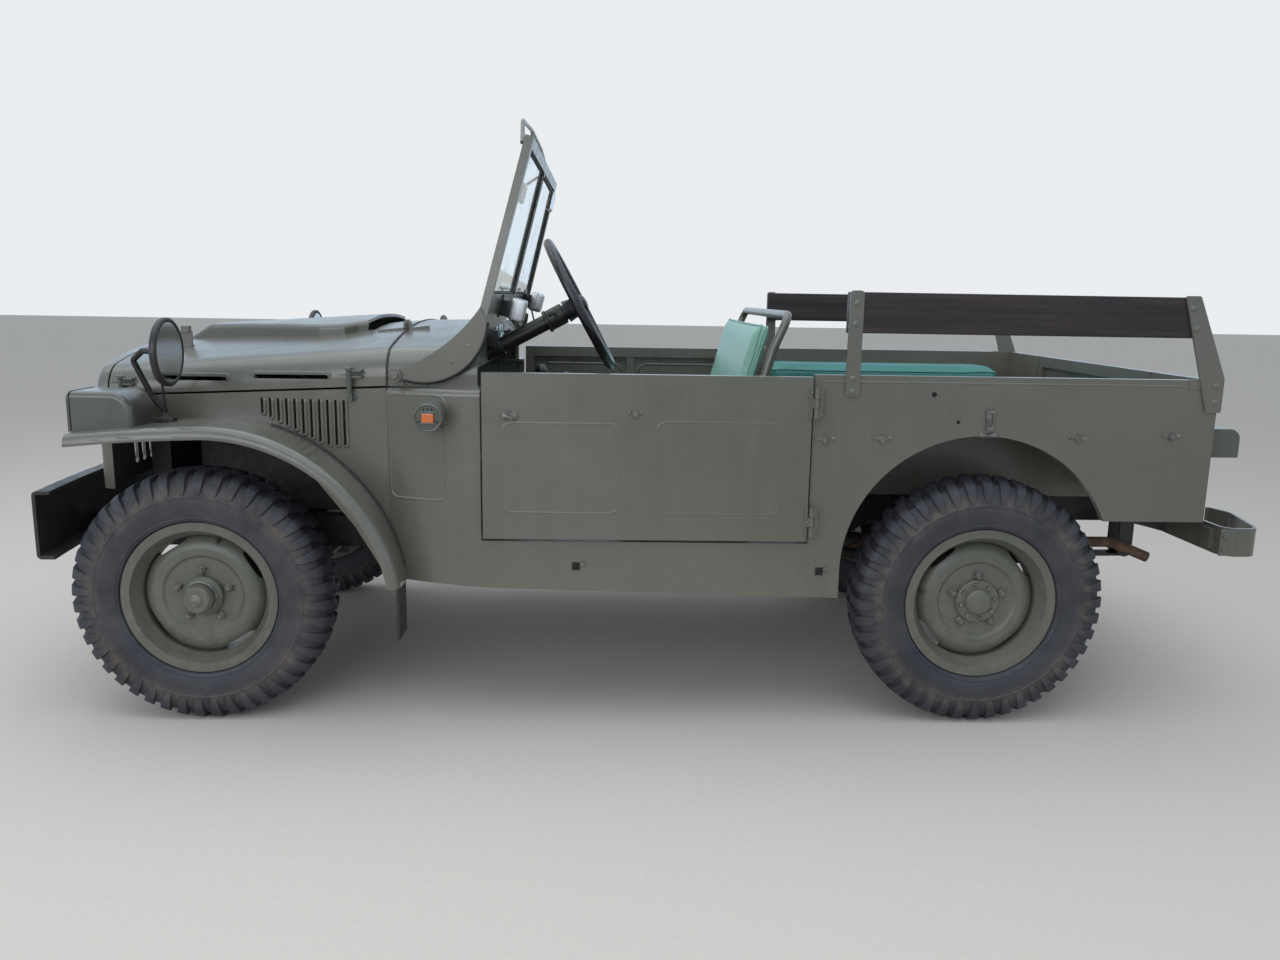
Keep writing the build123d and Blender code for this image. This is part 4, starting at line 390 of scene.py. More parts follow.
def turned(form, centre, axis, profile, steps=20, ring=False):
    """A form turned about an axis, from pairs of radius and distance. A ring's profile closes on itself."""
    first, second = across(axis)
    centre, axis = Vector(centre), Vector(axis).normalized()
    rings = []
    for radius, reach in profile:
        middle = centre + axis * reach
        angles = [2 * math.pi * k / steps for k in range(steps)] if radius > 1e-6 else [0.0]
        rings.append([form.verts.new(middle + (first * math.cos(a) + second * math.sin(a)) * radius)
                      for a in angles])
    for low, high in zip(rings, rings[1:]):
        join_rings(form, low, high)
    if ring:
        join_rings(form, rings[-1], rings[0])


def swept(form, points, radius, steps=8, closed=False):
    """A round bar along a line of points, as one skin with closed ends."""
    points = [Vector(p) for p in points]
    count = len(points)
    rings = []
    first = None
    for k, point in enumerate(points):
        before = points[k - 1] if k or closed else points[0]
        after = points[(k + 1) % count] if k < count - 1 or closed else points[-1]
        along = (after - before).normalized()
        first = across(along)[0] if first is None else (first - along * first.dot(along)).normalized()
        second = along.cross(first)
        turns = [2 * math.pi * n / steps for n in range(steps)]
        rings.append([form.verts.new(point + (first * math.cos(a) + second * math.sin(a)) * radius)
                      for a in turns])
    for low, high in zip(rings, rings[1:]):
        join_rings(form, low, high)
    if closed:
        join_rings(form, rings[-1], rings[0])
    else:
        form.faces.new(rings[0][::-1])
        form.faces.new(rings[-1])


def slab(form, low, high, edge=0.001, turn=None):
    """A box between two corners with rounded edges, turned about its own middle if asked."""
    low, high = Vector(low), Vector(high)
    place = Matrix.Translation((low + high) / 2)
    if turn:
        place = place @ turn
    made = bmesh.ops.create_cube(form, size=1.0, matrix=place @ Matrix.Diagonal((*(high - low), 1)))
    edges = {e for v in made["verts"] for e in v.link_edges}
    if edge:
        bmesh.ops.bevel(form, geom=list(edges), offset=edge, segments=2, affect="EDGES", profile=0.6)


def rounded(points, radius, steps=5):
    """A closed outline in a plane with each corner rounded."""
    made = []
    count = len(points)
    for k in range(count):
        corner = Vector(points[k])
        back = (Vector(points[k - 1]) - corner).normalized()
        ahead = (Vector(points[(k + 1) % count]) - corner).normalized()
        half = back.angle(ahead) / 2
        reach = radius / math.tan(half)
        start, end = corner + back * reach, corner + ahead * reach
        for n in range(steps + 1):
            share = n / steps
            made.append(start.lerp(corner, share).lerp(corner.lerp(end, share), share))
    return made


def divided(points, step, closed=True):
    """More points along an outline, a step apart."""
    points = [Vector(p) for p in points]
    ends = points[1:] + points[:1] if closed else points[1:]
    made = []
    for start, end in zip(points, ends):
        parts = max(1, round((end - start).length / step))
        made += [start.lerp(end, n / parts) for n in range(parts)]
    return made if closed else made + [points[-1]]


def box_corners(x0, x1, z0, z1):
    """Corners of an upright rectangle, as pairs."""
    return [(x0, z0), (x1, z0), (x1, z1), (x0, z1)]


def side_sheet(form, outline, y0, y1):
    """A flat piece cut to an outline in side view, between two distances from the middle of the car."""
    near = [form.verts.new((x, y0, z)) for x, z in outline]
    far = [form.verts.new((x, y1, z)) for x, z in outline]
    form.faces.new(near)
    form.faces.new(far[::-1])
    join_rings(form, near, far)


def both_sides(form):
    """Add the mirror image of everything made so far, for the car's right side."""
    made = bmesh.ops.duplicate(form, geom=form.verts[:] + form.edges[:] + form.faces[:])["geom"]
    verts = [v for v in made if isinstance(v, bmesh.types.BMVert)]
    faces = [f for f in made if isinstance(f, bmesh.types.BMFace)]
    for vert in verts:
        vert.co.y = -vert.co.y
    bmesh.ops.reverse_faces(form, faces=faces)


def cover(piece, material):
    """Give a whole piece one finish."""
    piece.data.materials.clear()
    piece.data.materials.append(material)


def finish_piece(name, form, body, material, crease=32, place=(0, 0, 0)):
    """Turn a form into a shaded piece that rides on a body."""
    bmesh.ops.recalc_face_normals(form, faces=form.faces)
    mesh = bpy.data.meshes.new(name)
    form.to_mesh(mesh)
    form.free()
    mesh.shade_smooth()
    mesh.set_sharp_from_angle(angle=math.radians(crease))
    piece = bpy.data.objects.new(name, mesh)
    piece.location = place
    bpy.context.scene.collection.objects.link(piece)
    even = piece.modifiers.new("even_shading", "WEIGHTED_NORMAL")
    even.keep_sharp = True
    cover(piece, material)
    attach(piece, body)
    print(name, "has", len(mesh.polygons), "faces")
    return piece


def low_corner(name):
    """Lowest corner of a frame node."""
    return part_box(name)[0]


def high_corner(name):
    """Highest corner of a frame node."""
    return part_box(name)[1]


def middle(name):
    """Middle of a frame node's box."""
    return (low_corner(name) + high_corner(name)) / 2


# %% [markdown]
# Every rigid node of the frame keeps its shape and gets one of these finishes. A table from finish to node
# names is easier to check than fifty assignments, and the cell prints any node that was forgotten.

# %% Finishes of the frame's nodes
FINISHES = {
    body_paint: ("body_floor", "wheel_boxes", "rear_sides", "bonnet", "scuttle", "engine_sides", "cowl_sides",
                 "nose_panel", "wings", "door_left", "door_right", "rear_panel", "tailgate",
                 "windscreen_frame", "front_bench_frame", "rear_bumper", "tow_hitch"),
    lamp_paint: ("headlamps", "small_lamps"),
    wheel_paint: ("wheel_front_left", "wheel_front_right", "wheel_rear_left", "wheel_rear_right"),
    chassis_black: ("frame", "rear_springs", "rear_axle", "front_suspension", "front_knuckle_left",
                    "front_knuckle_right", "track_rod", "front_bumper", "radiator", "steering_column",
                    "mirrors"),
    grey_casting: ("engine", "transmission", "front_axle_drive"),
    rusty_steel: ("exhaust",),
    tyre_rubber: ("tyre_front_left", "tyre_front_right", "tyre_rear_left", "tyre_rear_right"),
    black_rubber: ("mud_flaps",),
    black_plastic: ("steering_wheel",),
    pale_vinyl: ("front_bench_cushion", "front_bench_backrest"),
    teal_vinyl: ("side_bench_cushions",),
    dark_wood: ("side_bench_rails",),
    clear_glass: ("windscreen_glass",),
    lamp_glass: ("headlamp_glass",),
}
for material, names in FINISHES.items():
    for name in names:
        cover(nodes[name], material)
unfinished = sorted(set(nodes) - {name for names in FINISHES.values() for name in names})
print("nodes without a finish:", unfinished)

# %% [markdown]
# Each tyre is a cross-country one: bars from both shoulders meet in a zigzag at the middle, and their feet
# taper down the side. A bump map would vanish at the outline, where tread shows most. The casing is turned
# from its section, and one bar is lofted through stations from the middle to the shoulder, then repeated
# round both sides.

# %% Tyres with their tread
# Section of one half of the casing, from the bead to the middle: radius, distance from the middle plane
CASING = ((0.2035, 0.0645), (0.222, 0.0645), (0.2255, 0.075), (0.232, 0.0785), (0.2345, 0.0805),
          (0.2375, 0.0795), (0.245, 0.0815), (0.262, 0.0838), (0.28, 0.0838), (0.290, 0.0826),
          (0.2915, 0.0843), (0.2955, 0.0843), (0.2975, 0.0824), (0.308, 0.079), (0.32, 0.0755),
          (0.333, 0.071), (0.343, 0.0655), (0.351, 0.057), (0.355, 0.042), (0.3565, 0.02))
# Stations of one bar: radius and distance from the middle at its top, the same at its foot, shift in
# pitches, half width of the top and of the foot
BAR_STATIONS = (
    (0.368, -0.007, 0.350, -0.007, 0.30, 0.0100, 0.0125), (0.368, 0.014, 0.350, 0.014, 0.02, 0.0120, 0.0145),
    (0.3675, 0.030, 0.350, 0.030, 0.16, 0.0120, 0.0145), (0.3655, 0.048, 0.347, 0.046, 0.02, 0.0130, 0.0155),
    (0.3615, 0.061, 0.343, 0.056, 0.0, 0.0140, 0.0165), (0.354, 0.0715, 0.336, 0.0635, 0.0, 0.0140, 0.0165),
    (0.342, 0.0785, 0.328, 0.0685, 0.0, 0.0130, 0.0155), (0.327, 0.0825, 0.317, 0.0725, 0.0, 0.0112, 0.0135),
    (0.312, 0.0838, 0.306, 0.0755, 0.0, 0.0085, 0.0105), (0.301, 0.0826, 0.299, 0.0775, 0.0, 0.0055, 0.007))
BARS_A_SIDE = 44
CASING_STEPS = 132


def tread_bar(form, side, turn):
    """One bar of the tread, from the middle of the tyre down its side."""
    pitch = 2 * math.pi / BARS_A_SIDE
    rings = []
    for outer, outer_side, inner, inner_side, shift, top, foot in BAR_STATIONS:
        angle = turn + shift * pitch * side
        ring = []
        for radius, reach, half in ((outer, outer_side, -top), (outer, outer_side, top),
                                    (inner, inner_side, foot), (inner, inner_side, -foot)):
            place = angle + half / radius
            ring.append(form.verts.new((radius * math.cos(place), side * reach, radius * math.sin(place))))
        rings.append(ring)
    for low, high in zip(rings, rings[1:]):
        join_rings(form, low, high)
    form.faces.new(rings[0][::-1])
    form.faces.new(rings[-1])


def tyre_form(start):
    """A whole tyre about its own axle, its tread turned by a starting angle."""
    form = bmesh.new()
    right = [(radius, -reach) for radius, reach in reversed(CASING)]
    turned(form, (0, 0, 0), (0, 1, 0), list(CASING) + right, CASING_STEPS, ring=True)
    for side in (1, -1):
        for number in range(BARS_A_SIDE):
            tread_bar(form, side, start + (number + 0.25 * side) * 2 * math.pi / BARS_A_SIDE)
    return form


# Wheels: place, side, turn of the tread
WHEELS = (("front_left", 1, 0.02), ("front_right", -1, 0.05),
          ("rear_left", 1, 0.09), ("rear_right", -1, 0.12))
for place, side, start in WHEELS:
    tyre = finish_piece("tread_" + place, tyre_form(start), "wheel_" + place, tyre_rubber, crease=28,
                        place=middle("tyre_" + place))
    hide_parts("tyre_" + place)

# %% [markdown]
# A pressed steel wheel is held by five nuts, its tube has a valve, and the rear hubs show the ring of small
# bolts of the half shaft. The frame has plain studs there. A nut is a form turned in six steps, so it gets
# its six flats, and all fittings of one wheel are one piece that spins with it.

# %% Wheel nuts, hub bolts and valves
NUT_CIRCLE = 0.076
NUT_PROFILE = ((0.0, 0.034), (0.017, 0.034), (0.017, 0.036), (0.0138, 0.0362), (0.0138, 0.043),
               (0.0118, 0.045), (0.0, 0.045))
STUD_PROFILE = ((0.0, 0.044), (0.0072, 0.044), (0.0072, 0.0495), (0.006, 0.0508), (0.0, 0.0508))
HUB_CIRCLE = 0.051
HUB_BOLT = ((0.0, 0.048), (0.0068, 0.048), (0.0068, 0.0535), (0.0058, 0.0547), (0.0, 0.0547))
FRONT_RING = ((0.0445, 0.0605), (0.0485, 0.0605), (0.0485, 0.064), (0.0445, 0.066))
FRONT_CAP = ((0.0, 0.0975), (0.018, 0.0975), (0.018, 0.1), (0.014, 0.1015), (0.0, 0.1015))
# Valve: radius and distance from the middle plane, and its place round the wheel
VALVE_STEM = ((0.178, 0.012), (0.170, 0.026), (0.162, 0.044))
FRONT_VALVE = math.radians(106)
REAR_VALVE = math.radians(9)


def round_circle(radius, count, start=0.0):
    """Evenly spaced places on a circle about an axle, from the top, as pairs of X and Z."""
    angles = [start + 2 * math.pi * number / count for number in range(count)]
    return [(radius * math.sin(a), radius * math.cos(a)) for a in angles]


def wheel_fittings(side, rear):
    """Nuts, studs, hub bolts and valve of one wheel, about its own centre."""
    form = bmesh.new()
    out = (0, side, 0)
    for x, z in round_circle(NUT_CIRCLE, 5):
        turned(form, (x, 0, z), out, NUT_PROFILE, 6)
        turned(form, (x, 0, z), out, STUD_PROFILE, 12)
    if rear:
        for x, z in round_circle(HUB_CIRCLE, 8, 0.2):
            turned(form, (x, 0, z), out, HUB_BOLT, 6)
    else:
        turned(form, (0, 0, 0), out, FRONT_RING, 32, ring=True)
        turned(form, (0, 0, 0), out, FRONT_CAP, 24)
    turn = REAR_VALVE if rear else FRONT_VALVE
    points = [(r * math.cos(turn), side * y, r * math.sin(turn)) for r, y in VALVE_STEM]
    swept(form, points, 0.0034, 10)
    swept(form, [points[1], points[2]], 0.0046, 10)
    return form


for place, side, _ in WHEELS:
    finish_piece("fittings_" + place, wheel_fittings(side, "rear" in place), "wheel_" + place, worn_steel,
                 crease=30, place=middle("tyre_" + place))

# %% [markdown]
# The benches are vinyl over stuffing. A box with rounded edges looks hard, because cloth under pressure
# swells most in the middle and pulls in between its corners. So each cushion starts a little small, gets an
# even mesh, and is blown up as cloth by pressure with no gravity. A cap on the movement and the cushion's
# own space keep it in place.

# %% Cushions blown up as cloth
VOXEL = 0.008
SIM_FRAMES = 20
STUFFING_PRESSURE = 4.0


def baked_mesh(piece):
    """The piece's mesh with its modifiers worked in."""
    graph = bpy.context.evaluated_depsgraph_get()
    graph.update()
    return bpy.data.meshes.new_from_object(piece.evaluated_get(graph))


def even_mesh(piece):
    """Give the piece one even mesh of small squares."""
    remesh = piece.modifiers.new("even", "REMESH")
    remesh.mode = "VOXEL"
    remesh.voxel_size = VOXEL
    mesh = baked_mesh(piece)
    piece.modifiers.remove(remesh)
    piece.data = mesh


def blow_up(piece, cap):
    """Swell the piece by pressure inside it, no point moving further than the cap."""
    cloth = piece.modifiers.new("stuffing", "CLOTH")
    cloth.settings.quality = 4
    cloth.settings.mass = 0.3
    cloth.settings.bending_stiffness = 1.5
    cloth.settings.use_pressure = True
    cloth.settings.uniform_pressure_force = STUFFING_PRESSURE
    cloth.settings.effector_weights.gravity = 0.0
    cloth.point_cache.frame_end = SIM_FRAMES
    for number in range(1, SIM_FRAMES + 1):
        bpy.context.scene.frame_set(number)
    swollen = baked_mesh(piece)
    piece.modifiers.remove(cloth)
    bpy.context.scene.frame_set(1)
    for vertex, moved in zip(piece.data.vertices, swollen.vertices):
        step = moved.co - vertex.co
        if step.length > cap:
            step *= cap / step.length
        vertex.co += step
    bpy.data.meshes.remove(swollen)


def hold_inside(piece, low, high):
    """Keep every point within the cushion's own space."""
    for vertex in piece.data.vertices:
        vertex.co = Vector(min(max(c, a), b) for c, a, b in zip(vertex.co, low, high))


def cushion(name, size, cap, rise, node_name, material, place, turn=None):
    """A cushion from its size: blown up, held above its seat, smoothed and put in place."""
    form = bmesh.new()
    half = Vector(size) / 2
    inset = Vector((cap, cap, cap)) * 0.75
    slab(form, -half + inset, half - inset, min(size) * 0.3)
    mesh = bpy.data.meshes.new(name)
    form.to_mesh(mesh)
    form.free()
    piece = bpy.data.objects.new(name, mesh)
    bpy.context.scene.collection.objects.link(piece)
    even_mesh(piece)
    blow_up(piece, cap)
    hold_inside(piece, -half, half + Vector(rise))
    smoother = piece.modifiers.new("smooth", "SUBSURF")
    smoother.levels = smoother.render_levels = 1
    smooth_mesh = baked_mesh(piece)
    piece.modifiers.remove(smoother)
    piece.data = smooth_mesh
    piece.data.name = name
    piece.data.transform(Matrix.Translation(Vector(place)) @ (turn or Matrix()))
    piece.data.shade_smooth()
    cover(piece, material)
    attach(piece, "chassis")
    if node_name:
        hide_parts(node_name)
    print(name, "has", len(piece.data.polygons), "faces")
    return piece


def box_of(name, side=None):
    """Middle and size of a node's box, or of its left half only."""
    low, high = low_corner(name), high_corner(name)
    if side:
        low.y = side
    return (low + high) / 2, high - low


BACK_LEAN = math.radians(15.5)
BACK_SIZE = (0.044, 0.88, 0.408)
BACK_FOOT = Vector((-0.196, 0, 0.7762))
back_turn = Matrix.Rotation(-BACK_LEAN, 4, "Y")
back_middle = BACK_FOOT + back_turn @ Vector((0, 0, BACK_SIZE[2] / 2))
backrest = cushion("front_backrest", BACK_SIZE, cap=0.011, rise=(0.008, 0, 0),
                   node_name="front_bench_backrest", material=pale_vinyl, place=back_middle, turn=back_turn)
bench_middle, bench_size = box_of("front_bench_cushion")
bench_cushion = cushion("front_cushion", bench_size, cap=0.022, rise=(0, 0, 0.008),
                        node_name="front_bench_cushion", material=pale_vinyl, place=bench_middle)
SIDE_CUSHION_IN = 0.42
side_middle, side_size = box_of("side_bench_cushions", SIDE_CUSHION_IN)
side_left = cushion("side_cushion_left", side_size, cap=0.014, rise=(0, 0, 0.005),
                    node_name="side_bench_cushions", material=teal_vinyl, place=side_middle)


def mirrored_copy(piece, name):
    """The same soft piece on the right side."""
    mesh = piece.data.copy()
    mesh.transform(Matrix.Diagonal((1, -1, 1, 1)))
    mesh.flip_normals()
    twin = bpy.data.objects.new(name, mesh)
    bpy.context.scene.collection.objects.link(twin)
    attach(twin, "chassis")
    return twin


side_right = mirrored_copy(side_left, "side_cushion_right")

# %% [markdown]
# Piping is a thin cord sewn into the seam between the faces of a cushion. It would be lost in the even
# mesh, so it comes after the stuffing: a loop near the edge is snapped to the nearest point of the finished
# cushion and swept round. It rides high enough to catch the light like the real welt.

# %% Piping along the seams
PIPING = 0.0034
OUTLINE_STEP = 0.02
SEAM_INSET = 0.006


def snapped_loop(piece, corners, bend, lift, place):
    """A rounded loop of points laid on the surface of a piece."""
    laid = []
    for pair in divided(rounded(corners, bend, 6), OUTLINE_STEP):
        _, spot, normal, _ = piece.closest_point_on_mesh(place(pair))
        laid.append(spot + normal * lift)
    return laid


def piping(name, piece, loops, material):
    """Closed welts on one cushion."""
    form = bmesh.new()
    for corners, bend, place in loops:
        swept(form, snapped_loop(piece, corners, bend, PIPING * 0.3, place), PIPING, 8, closed=True)
    return finish_piece(name, form, "chassis", material, crease=60)


def back_place(reach):
    """Places on the leaning backrest, at a distance ahead of its middle plane."""
    return lambda pair: back_middle + back_turn @ Vector((reach, pair[0], pair[1]))


back_half = (BACK_SIZE[1] / 2 - SEAM_INSET, BACK_SIZE[2] / 2 - SEAM_INSET)
back_corners = box_corners(-back_half[0], back_half[0], -back_half[1], back_half[1])
piping("backrest_piping", backrest,
       [(back_corners, 0.03, back_place(0.021)), (back_corners, 0.03, back_place(-0.021))], piping_vinyl)


def flat_loop(centre, size, drop):
    """A loop round the top of a flat cushion."""
    x, y = size.x / 2 - SEAM_INSET, size.y / 2 - SEAM_INSET
    corners = box_corners(centre.x - x, centre.x + x, centre.y - y, centre.y + y)
    return corners, 0.04, lambda pair: Vector((pair[0], pair[1], centre.z + size.z / 2 - drop))


piping("bench_piping", bench_cushion,
       [flat_loop(bench_middle, bench_size, 0.008), flat_loop(bench_middle, bench_size, 0.06)], piping_vinyl)
for twin, sign in ((side_left, 1), (side_right, -1)):
    centre = Vector((side_middle.x, side_middle.y * sign, side_middle.z))
    piping(twin.name.replace("cushion", "piping"), twin, [flat_loop(centre, side_size, 0.006)], teal_vinyl)

# %% [markdown]
# The side benches have a back rail: one dark board on two flat steel uprights. In the frame they are one
# solid, so one finish would cover both. The rail is therefore made again as two pieces of the same size,
# the board with eased edges, the uprights with a rounded head and coach bolts.

# %% Back rails of the side benches
RAIL_LOW, RAIL_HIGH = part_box("side_bench_rails")
BOARD_FRONT = RAIL_HIGH.x - 0.002
BOARD_REAR = RAIL_LOW.x + 0.096
BOARD_TOP = RAIL_HIGH.z - 0.004
BOARD_DEPTH = 0.111
BOARD_OUT = RAIL_HIGH.y - 0.008
BOARD_IN = BOARD_OUT - 0.025
UPRIGHT_OUT = RAIL_HIGH.y
UPRIGHT_LENGTH = 0.288
FRONT_UPRIGHT = (RAIL_HIGH.x - 0.042, RAIL_HIGH.x - 0.003)
COACH_BOLT = ((0.0, 0.0), (0.0088, 0.0), (0.0084, 0.0018), (0.006, 0.0036), (0.0, 0.0045))


def boards():
    """Both boards."""
    form = bmesh.new()
    slab(form, (BOARD_REAR, BOARD_IN, BOARD_TOP - BOARD_DEPTH), (BOARD_FRONT, BOARD_OUT, BOARD_TOP), 0.0035)
    both_sides(form)
    return form


def uprights():
    """The flat steel uprights with their bolts."""
    form = bmesh.new()
    low, top = RAIL_HIGH.z - UPRIGHT_LENGTH, RAIL_HIGH.z
    side_sheet(form, rounded(box_corners(*FRONT_UPRIGHT, low, top), 0.012), BOARD_OUT, UPRIGHT_OUT - 0.001)
    rear, foot = RAIL_LOW.x, RAIL_LOW.z
    slope = [(rear, foot), (rear + 0.042, foot), (rear + 0.134, top), (rear + 0.092, top),
             (rear, foot + 0.096)]
    side_sheet(form, rounded(slope, 0.006), BOARD_OUT, UPRIGHT_OUT - 0.001)
    middle_x = sum(FRONT_UPRIGHT) / 2
    for x, z in ((middle_x, low + 0.014), (middle_x, low + 0.05), (middle_x, BOARD_TOP - 0.03),
                 (middle_x, BOARD_TOP - 0.085), (rear + 0.11, BOARD_TOP - 0.03),
                 (rear + 0.095, BOARD_TOP - 0.085), (rear + 0.02, foot + 0.03), (rear + 0.022, foot + 0.075)):
        turned(form, (x, UPRIGHT_OUT - 0.001, z), (0, 1, 0), COACH_BOLT, 14)
    both_sides(form)
    return form


rail_boards = finish_piece("rail_boards", boards(), "chassis", dark_wood)
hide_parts("side_bench_rails")
finish_piece("rail_uprights", uprights(), "chassis", body_paint)

# %% [markdown]
# The body sides carry many small things: pressed lines that stiffen the sheet, loops for the canvas, a
# latch, drain holes. Each belongs exactly on the sheet, which flares in front of the door. Typing its
# distance from the middle by hand would leave gaps, so a ray is shot at the frame's outer skin, and the
# thing sits where it hits.

# %% Places on the body's skin
SIDE_NODES = ("door_left", "cowl_sides", "engine_sides", "rear_sides", "bonnet")


def skin_point(x, z, names=SIDE_NODES):
    """The outermost point of the left side at a place in side view, or None where the ray meets nothing."""
    found = []
    for name in names:
        hit, spot, _, _ = nodes[name].ray_cast(Vector((x, 1.2, z)), Vector((0, -1, 0)))
        if hit and spot.y > 0:
            found.append(spot.copy())
    return max(found, key=lambda spot: spot.y, default=None)


def pressed_line(form, outline, closed=True, radius=0.008, proud=0.0009, names=SIDE_NODES):
    """A rounded line pressed out of the sheet along an outline in side view."""
    spots = [skin_point(x, z, names) for x, z in divided(outline, OUTLINE_STEP, closed)]
    swept(form, [spot - Vector((0, radius - proud, 0)) for spot in spots], radius, 10, closed)


def flipped(form):
    """The mirror image of a form, for the car's right side."""
    for vert in form.verts:
        vert.co.y = -vert.co.y
    bmesh.ops.reverse_faces(form, faces=form.faces)
    return form


for place, x, z in (("engine", 1.2, 0.92), ("door", 0.1, 0.8)):
    print("skin at the", place, "is", round(skin_point(x, z).y, 3), "m out")

# %% [markdown]
# Each door has two pressed fields, an oval handle plate with its lever near the front edge, and a loop for
# the canvas screen. The hinges get their screws. The parts of one door are one piece on that door's body,
# made for the left door and mirrored for the right one.

# %% Door fittings
DOOR_FIELDS = ((0.141, 0.462, 0.637, 0.888), (-0.311, 0.035, 0.637, 0.895))
HANDLE_PLACE = (0.444, 0.908)
LOOP_PLACE = (0.098, 0.919)
HINGE_HEIGHTS = (0.618, 0.952)
DOOR_LEAF_X = -0.388
SIDE_LEAF_X = -0.4155
SCREW = ((0.0, 0.0), (0.0042, 0.0), (0.0038, 0.0009), (0.0022, 0.0017), (0.0, 0.0019))
SCREW_SPACING = 0.03
LEVER_HUB = ((0, 0), (0.0075, 0), (0.0075, 0.011), (0.006, 0.013), (0, 0.013))


def screw(form, x, z, y=None, profile=SCREW, steps=10):
    """A round-headed screw or rivet in the side."""
    out = skin_point(x, z).y if y is None else y
    turned(form, (x, out - 0.0002, z), (0, 1, 0), profile, steps)


def door_presses():
    """The two pressed fields of the left door."""
    form = bmesh.new()
    for field in DOOR_FIELDS:
        pressed_line(form, rounded(box_corners(*field), 0.028))
    return form


def door_handle(form):
    """Oval plate with a raised rim, and the hooked lever in it."""
    x, z = HANDLE_PLACE
    y = skin_point(x, z).y
    plate = rounded(box_corners(x - 0.026, x + 0.026, z - 0.014, z + 0.014), 0.0135)
    side_sheet(form, plate, y - 0.001, y + 0.0022)
    rim = rounded(box_corners(x - 0.024, x + 0.024, z - 0.012, z + 0.012), 0.0118)
    swept(form, [(p.x, y + 0.0022, p.y) for p in rim], 0.0024, 8, closed=True)
    turned(form, (x + 0.012, y, z), (0, 1, 0), LEVER_HUB, 14)
    lever = [(x + 0.012, y + 0.011, z), (x - 0.002, y + 0.013, z - 0.003), (x - 0.014, y + 0.011, z - 0.008),
             (x - 0.02, y + 0.006, z - 0.004)]
    swept(form, lever, 0.0032, 8)


def canvas_loop(form, x, z, width=0.05):
    """A flat strip with a bowed loop and two rivets, which takes a strap of the canvas."""
    y = skin_point(x, z).y
    slab(form, (x - width / 2, y - 0.0005, z - 0.0055), (x + width / 2, y + 0.0018, z + 0.0055), 0.0006)
    slab(form, (x - 0.008, y, z - 0.01), (x + 0.008, y + 0.0065, z + 0.0045), 0.0016)
    slab(form, (x - 0.0035, y + 0.004, z - 0.013), (x + 0.0035, y + 0.0095, z + 0.008), 0.0014)
    for reach in (-0.4 * width, 0.4 * width):
        screw(form, x + reach, z, y + 0.0018)


def hinge_screws(form, x, y):
    """Three screws in the leaf of each hinge."""
    for level in HINGE_HEIGHTS:
        for rise in (-SCREW_SPACING, 0.0, SCREW_SPACING):
            screw(form, x, level + rise, y)


def door_fittings():
    """Handle, loop and hinge screws of the left door."""
    form = bmesh.new()
    door_handle(form)
    canvas_loop(form, *LOOP_PLACE, width=0.04)
    hinge_screws(form, DOOR_LEAF_X, high_corner("door_left").y - 0.0105)
    return form


for body, turn in (("door_left", lambda form: form), ("door_right", flipped)):
    finish_piece(body + "_presses", turn(door_presses()), body, body_paint, crease=60)
    finish_piece(body + "_fittings", turn(door_fittings()), body, worn_steel, crease=30)

# %% [markdown]
# The rear sides have canvas loops, a strap latch over the wheel arch, two small holes and the folded seam
# of the corner. The sill has two square drain holes, each with a bent lip. A hole is shown by a thin dark
# plate with a real rim: the plate is painted shade, because the frame's solid is kept whole and the depth
# of so small a hole can't be seen. A hole is shown by a thin dark plate with a real rim, because cutting
# the frame's solid isn't allowed here and the depth of so small a hole can't be seen.

# %% Rear side, sill and scuttle side
SIDE_LOOPS = ((-0.432, 0.854), (-0.593, 0.856), (-1.146, 0.865), (-1.411, 0.873))
LATCH_PLACE = (-0.892, 0.905)
ROUND_HOLES = ((-0.731, 0.980, 0.0075), (-0.804, 0.904, 0.0055))
SILL_HOLES = ((0.258, 0.480), (-0.434, 0.471))
CORNER_SEAM = -1.516
RAIL_LINE = 1.012
COWL_FIELD = (0.622, 0.786, 0.660, 0.955)


def side_presses():
    """Pressed lines of the left side: corner seam, upper rail and the field in front of the door."""
    form = bmesh.new()
    pressed_line(form, [(CORNER_SEAM, 0.64), (CORNER_SEAM, 1.022)], False, 0.003, 0.0012)
    pressed_line(form, [(-0.425, RAIL_LINE), (-1.505, RAIL_LINE)], False, 0.004, 0.0014)
    x0, x1, z0, z1 = COWL_FIELD
    pressed_line(form, rounded(box_corners(x0, x1, z0, z1), 0.026), names=("cowl_sides",))
    both_sides(form)
    return form


def strap_latch(form):
    """The strap latch over the wheel arch: long plate, foot, loop and pin."""
    x, z = LATCH_PLACE
    y = skin_point(x, z).y
    plate = rounded(box_corners(x - 0.012, x + 0.012, z - 0.032, z + 0.04), 0.005)
    foot = rounded(box_corners(x - 0.026, x + 0.026, z - 0.042, z - 0.03), 0.003)
    for outline in (plate, foot):
        side_sheet(form, outline, y - 0.0005, y + 0.0022)
    ring = rounded(box_corners(x - 0.009, x + 0.009, z - 0.008, z + 0.026), 0.004, 3)
    swept(form, [(p.x, y + 0.0062, p.y) for p in ring], 0.0024, 8, closed=True)
    slab(form, (x - 0.011, y, z - 0.024), (x + 0.011, y + 0.009, z - 0.012), 0.002)
    swept(form, [(x - 0.013, y + 0.006, z + 0.03), (x + 0.013, y + 0.006, z + 0.03)], 0.0032, 8)
    for dx, dz in ((-0.02, -0.036), (0.02, -0.036), (0, 0.036)):
        screw(form, x + dx, z + dz, y + 0.0022)


def side_fittings():
    """Loops, latch and hinge screws of both sides."""
    form = bmesh.new()
    for x, z in SIDE_LOOPS:
        canvas_loop(form, x, z, 0.058)
    strap_latch(form)
    hinge_screws(form, SIDE_LEAF_X, high_corner("rear_sides").y - 0.0145)
    both_sides(form)
    return form


